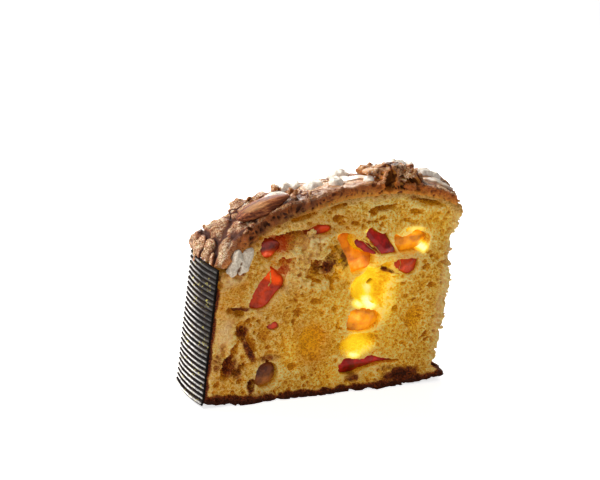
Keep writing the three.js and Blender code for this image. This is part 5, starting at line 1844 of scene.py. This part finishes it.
def grain_shape(name, random, corners=14):
    """One lump of crumb or crystal of sugar, 1 mm across: the hull of a few corners."""
    points = []
    for _ in range(corners):
        way = Vector([random.gauss(0, 1) for _ in range(3)]).normalized()
        points.append(way * random.uniform(0.35, 0.5))
    mesh = bpy.data.meshes.new(name)
    mesh.from_pydata([p * MM for p in points], [], [])
    shape = placed(name, mesh)
    hull = Rule(name + " hull", {})
    wrapped = hull.node("GeometryNodeConvexHull", inputs={0: hull.given["Geometry"]})
    hull.tree.links.new(wrapped, hull.result["Geometry"])
    shape.modifiers.new(name, "NODES").node_group = hull.tree
    finished(shape)
    return shape


def strew(name, carrier, thickness, per_square_metre, sizes, seed, finish, slot):
    """Loose grains on a piece, as one piece of their own."""
    paint(carrier, "strewn", thickness)
    grain = grain_shape(name + " grain", chance.Random(seed))
    rule = scatter_rule(name, grain, finish.material)
    rule.sizes.update({"Grains per square metre": per_square_metre, "Seed": seed})
    rule.sizes.update({"Smallest": sizes[0], "Largest": sizes[1]})
    piece = rule.make(name, carrier.data.copy())
    bpy.data.objects.remove(grain)
    return dress(piece, finish, slot)


def fibre_rule(material):
    """Turns lines into thin round fibres with a slight crinkle."""
    rule = Rule("crumb fibres", {"Radius": 0.001, "Crinkle": 0.001, "Material": material})
    size = rule.given
    line = rule.node("GeometryNodeMeshToCurve", inputs={"Mesh": size["Geometry"]})
    line = rule.node("GeometryNodeResampleCurve", inputs={"Curve": line, "Count": 22})
    noise = rule.node("ShaderNodeTexNoise", "Color", {"Scale": 900.0, "Detail": 2.0})
    shift = rule.node("ShaderNodeVectorMath", inputs={0: noise, 1: (0.5, 0.5, 0.5)}, operation="SUBTRACT")
    shift = rule.node("ShaderNodeVectorMath", inputs={0: shift, "Scale": size["Crinkle"]}, operation="SCALE")
    line = rule.node("GeometryNodeSetPosition", inputs={"Geometry": line, "Offset": shift})
    ring = rule.node("GeometryNodeCurvePrimitiveCircle", inputs={"Resolution": 7, "Radius": size["Radius"]})
    inputs = {"Curve": line, "Profile Curve": ring, "Fill Caps": True}
    tube = rule.node("GeometryNodeCurveToMesh", inputs=inputs)
    rule.build(tube, size["Material"])
    return rule


def make_fibres(finish):
    parts = []
    rule = fibre_rule(finish.material)
    for n, (path, y, radius) in enumerate(FIBRES):
        line = bpy.data.meshes.new("fibre")
        points = [Vector(((x + TO_ROW[0]) * MM, (y + TO_ROW[1]) * MM, (z + TO_ROW[2]) * MM)) for x, z in path]
        line.from_pydata(points, [(i, i + 1) for i in range(len(points) - 1)], [])
        rule.sizes.update({"Radius": radius * MM, "Crinkle": 3 * radius * MM})
        parts.append(rule.make(f"fibre {n}", line))
    with bpy.context.temp_override(active_object=parts[0], selected_editable_objects=parts):
        bpy.ops.object.join()
    fibres = parts[0]
    fibres.name = fibres.data.name = "crumb_fibres"
    for name in ("hollow", "bake", "soaked", "pale", "reddened", "glow"):
        # The same painted shade and painted glow all over.
        paint(fibres, name, np.full(len(fibres.data.vertices), {"hollow": 0.3, "glow": 0.2}.get(name, 0.0)))
    dress(fibres, finish, "crumb")


def make_loose_pieces(crumb, glaze, crumb_look, sugar_look):
    """Crumbs clinging low on the cut faces and at the torn end, and sugar grains round the nibs."""
    x, y, z = cake_points(crumb).T
    low = np.clip((9 - z) / 8, 0, 1) + 0.6 * np.clip((x - tear_at(share_at(x, y), z) + 4) / 4, 0, 1) + 0.12
    thick, many, sizes = low * (z > 0.6), CRUMBS_PER_SQUARE_METRE, LOOSE_CRUMB_SIZES
    crumbs = strew("loose_crumbs", crumb, thick, many, sizes, 21, crumb_look, "crumb")
    # Painted glow on the loose crumbs, varying slowly, with a little painted shade.
    glow = 0.25 + 0.2 * smooth_noise(*(cake_points(crumbs) / 20).T)
    looks = {"hollow": 0.25, "bake": 0.0, "soaked": 0.0, "pale": 0.3, "reddened": 0.0, "glow": glow}
    for name, values in looks.items():
        paint(crumbs, name, np.broadcast_to(values, len(crumbs.data.vertices)))
    points = cake_points(glaze)
    near = np.zeros(len(points))
    for (u, v), (length, width, _), _ in SUGAR.values():
        away = np.hypot((points[:, 0] - u) / length, (points[:, 1] - v) / width)
        near = np.maximum(near, np.clip(1.5 - away, 0, 1))
    near = near * (points[:, 2] > glaze_top(points[:, 0], share_at(points[:, 0], points[:, 1])) - 1)
    many, sizes = GRAINS_PER_SQUARE_METRE, SUGAR_GRAIN_SIZES
    grains = strew("sugar_grains", glaze, near, many, sizes, 22, sugar_look, "sugar")
    # Painted light on the sugar grains.
    for name, value in (("fold", 0.0), ("light", 0.6)):
        paint(grains, name, np.full(len(grains.data.vertices), value))


# ---------------------------------------------------------------- floor and light

SKY_LIGHT = 0.2
# The lamps: name, place and size in metres, power in watts, colour.
LIGHTS = [
    ("key light", (-0.55, 0.42, 0.62), 0.35, 10.0, (1.0, 0.98, 0.95)),
    ("back light", (0.3, 0.65, 0.35), 0.4, 5.0, (1.0, 0.97, 0.92)),
    ("side light", (-0.62, -0.24, 0.62), 0.25, 1.5, (1.0, 1.0, 0.98)),
]


def build_studio():
    bpy.ops.mesh.primitive_plane_add(size=6.0)
    floor = bpy.context.object
    floor.name = "floor"
    paper = Finish("studio floor", roughness=0.9)
    paper.set(Base_Color=(0.9, 0.9, 0.9, 1), Specular_IOR_Level=0.1)
    paper.set(Emission_Color=(1, 1, 1, 1))
    seen = paper.node("ShaderNodeLightPath", "Is Camera Ray")
    paper.feed("Emission Strength", paper.spread(seen, 0, 1, 0.12, 0.75))
    paper.coat(floor)
    world = bpy.data.worlds.new("studio")
    world.use_nodes = True
    sky = world.node_tree.nodes["Background"]
    sky.inputs["Color"].default_value = (1, 1, 1, 1)
    seen = world.node_tree.nodes.new("ShaderNodeLightPath").outputs["Is Camera Ray"]
    brightness = world.node_tree.nodes.new("ShaderNodeMapRange")
    brightness.inputs["To Min"].default_value = SKY_LIGHT
    brightness.inputs["To Max"].default_value = 1.0
    world.node_tree.links.new(seen, brightness.inputs["Value"])
    world.node_tree.links.new(brightness.outputs[0], sky.inputs["Strength"])
    bpy.context.scene.world = world
    for name, place, size, power, colour in LIGHTS:
        lamp = bpy.data.lights.new(name, "AREA")
        lamp.size = size
        lamp.energy = power
        lamp.color = colour
        holder = placed(name, lamp)
        holder.location = place
        aim = Vector((0, 0, 0.05)) - Vector(place)
        holder.rotation_euler = aim.to_track_quat("-Z", "Y").to_euler()


crumb, crumb_look = make_crumb()
glaze = make_glaze()
make_case()
make_almond()
sugar_look = make_sugar()
make_icing()
make_fruit()
make_fibres(crumb_look)
make_loose_pieces(crumb, glaze, crumb_look, sugar_look)
build_studio()
scene = bpy.context.scene
scene.view_settings.view_transform = "Standard"
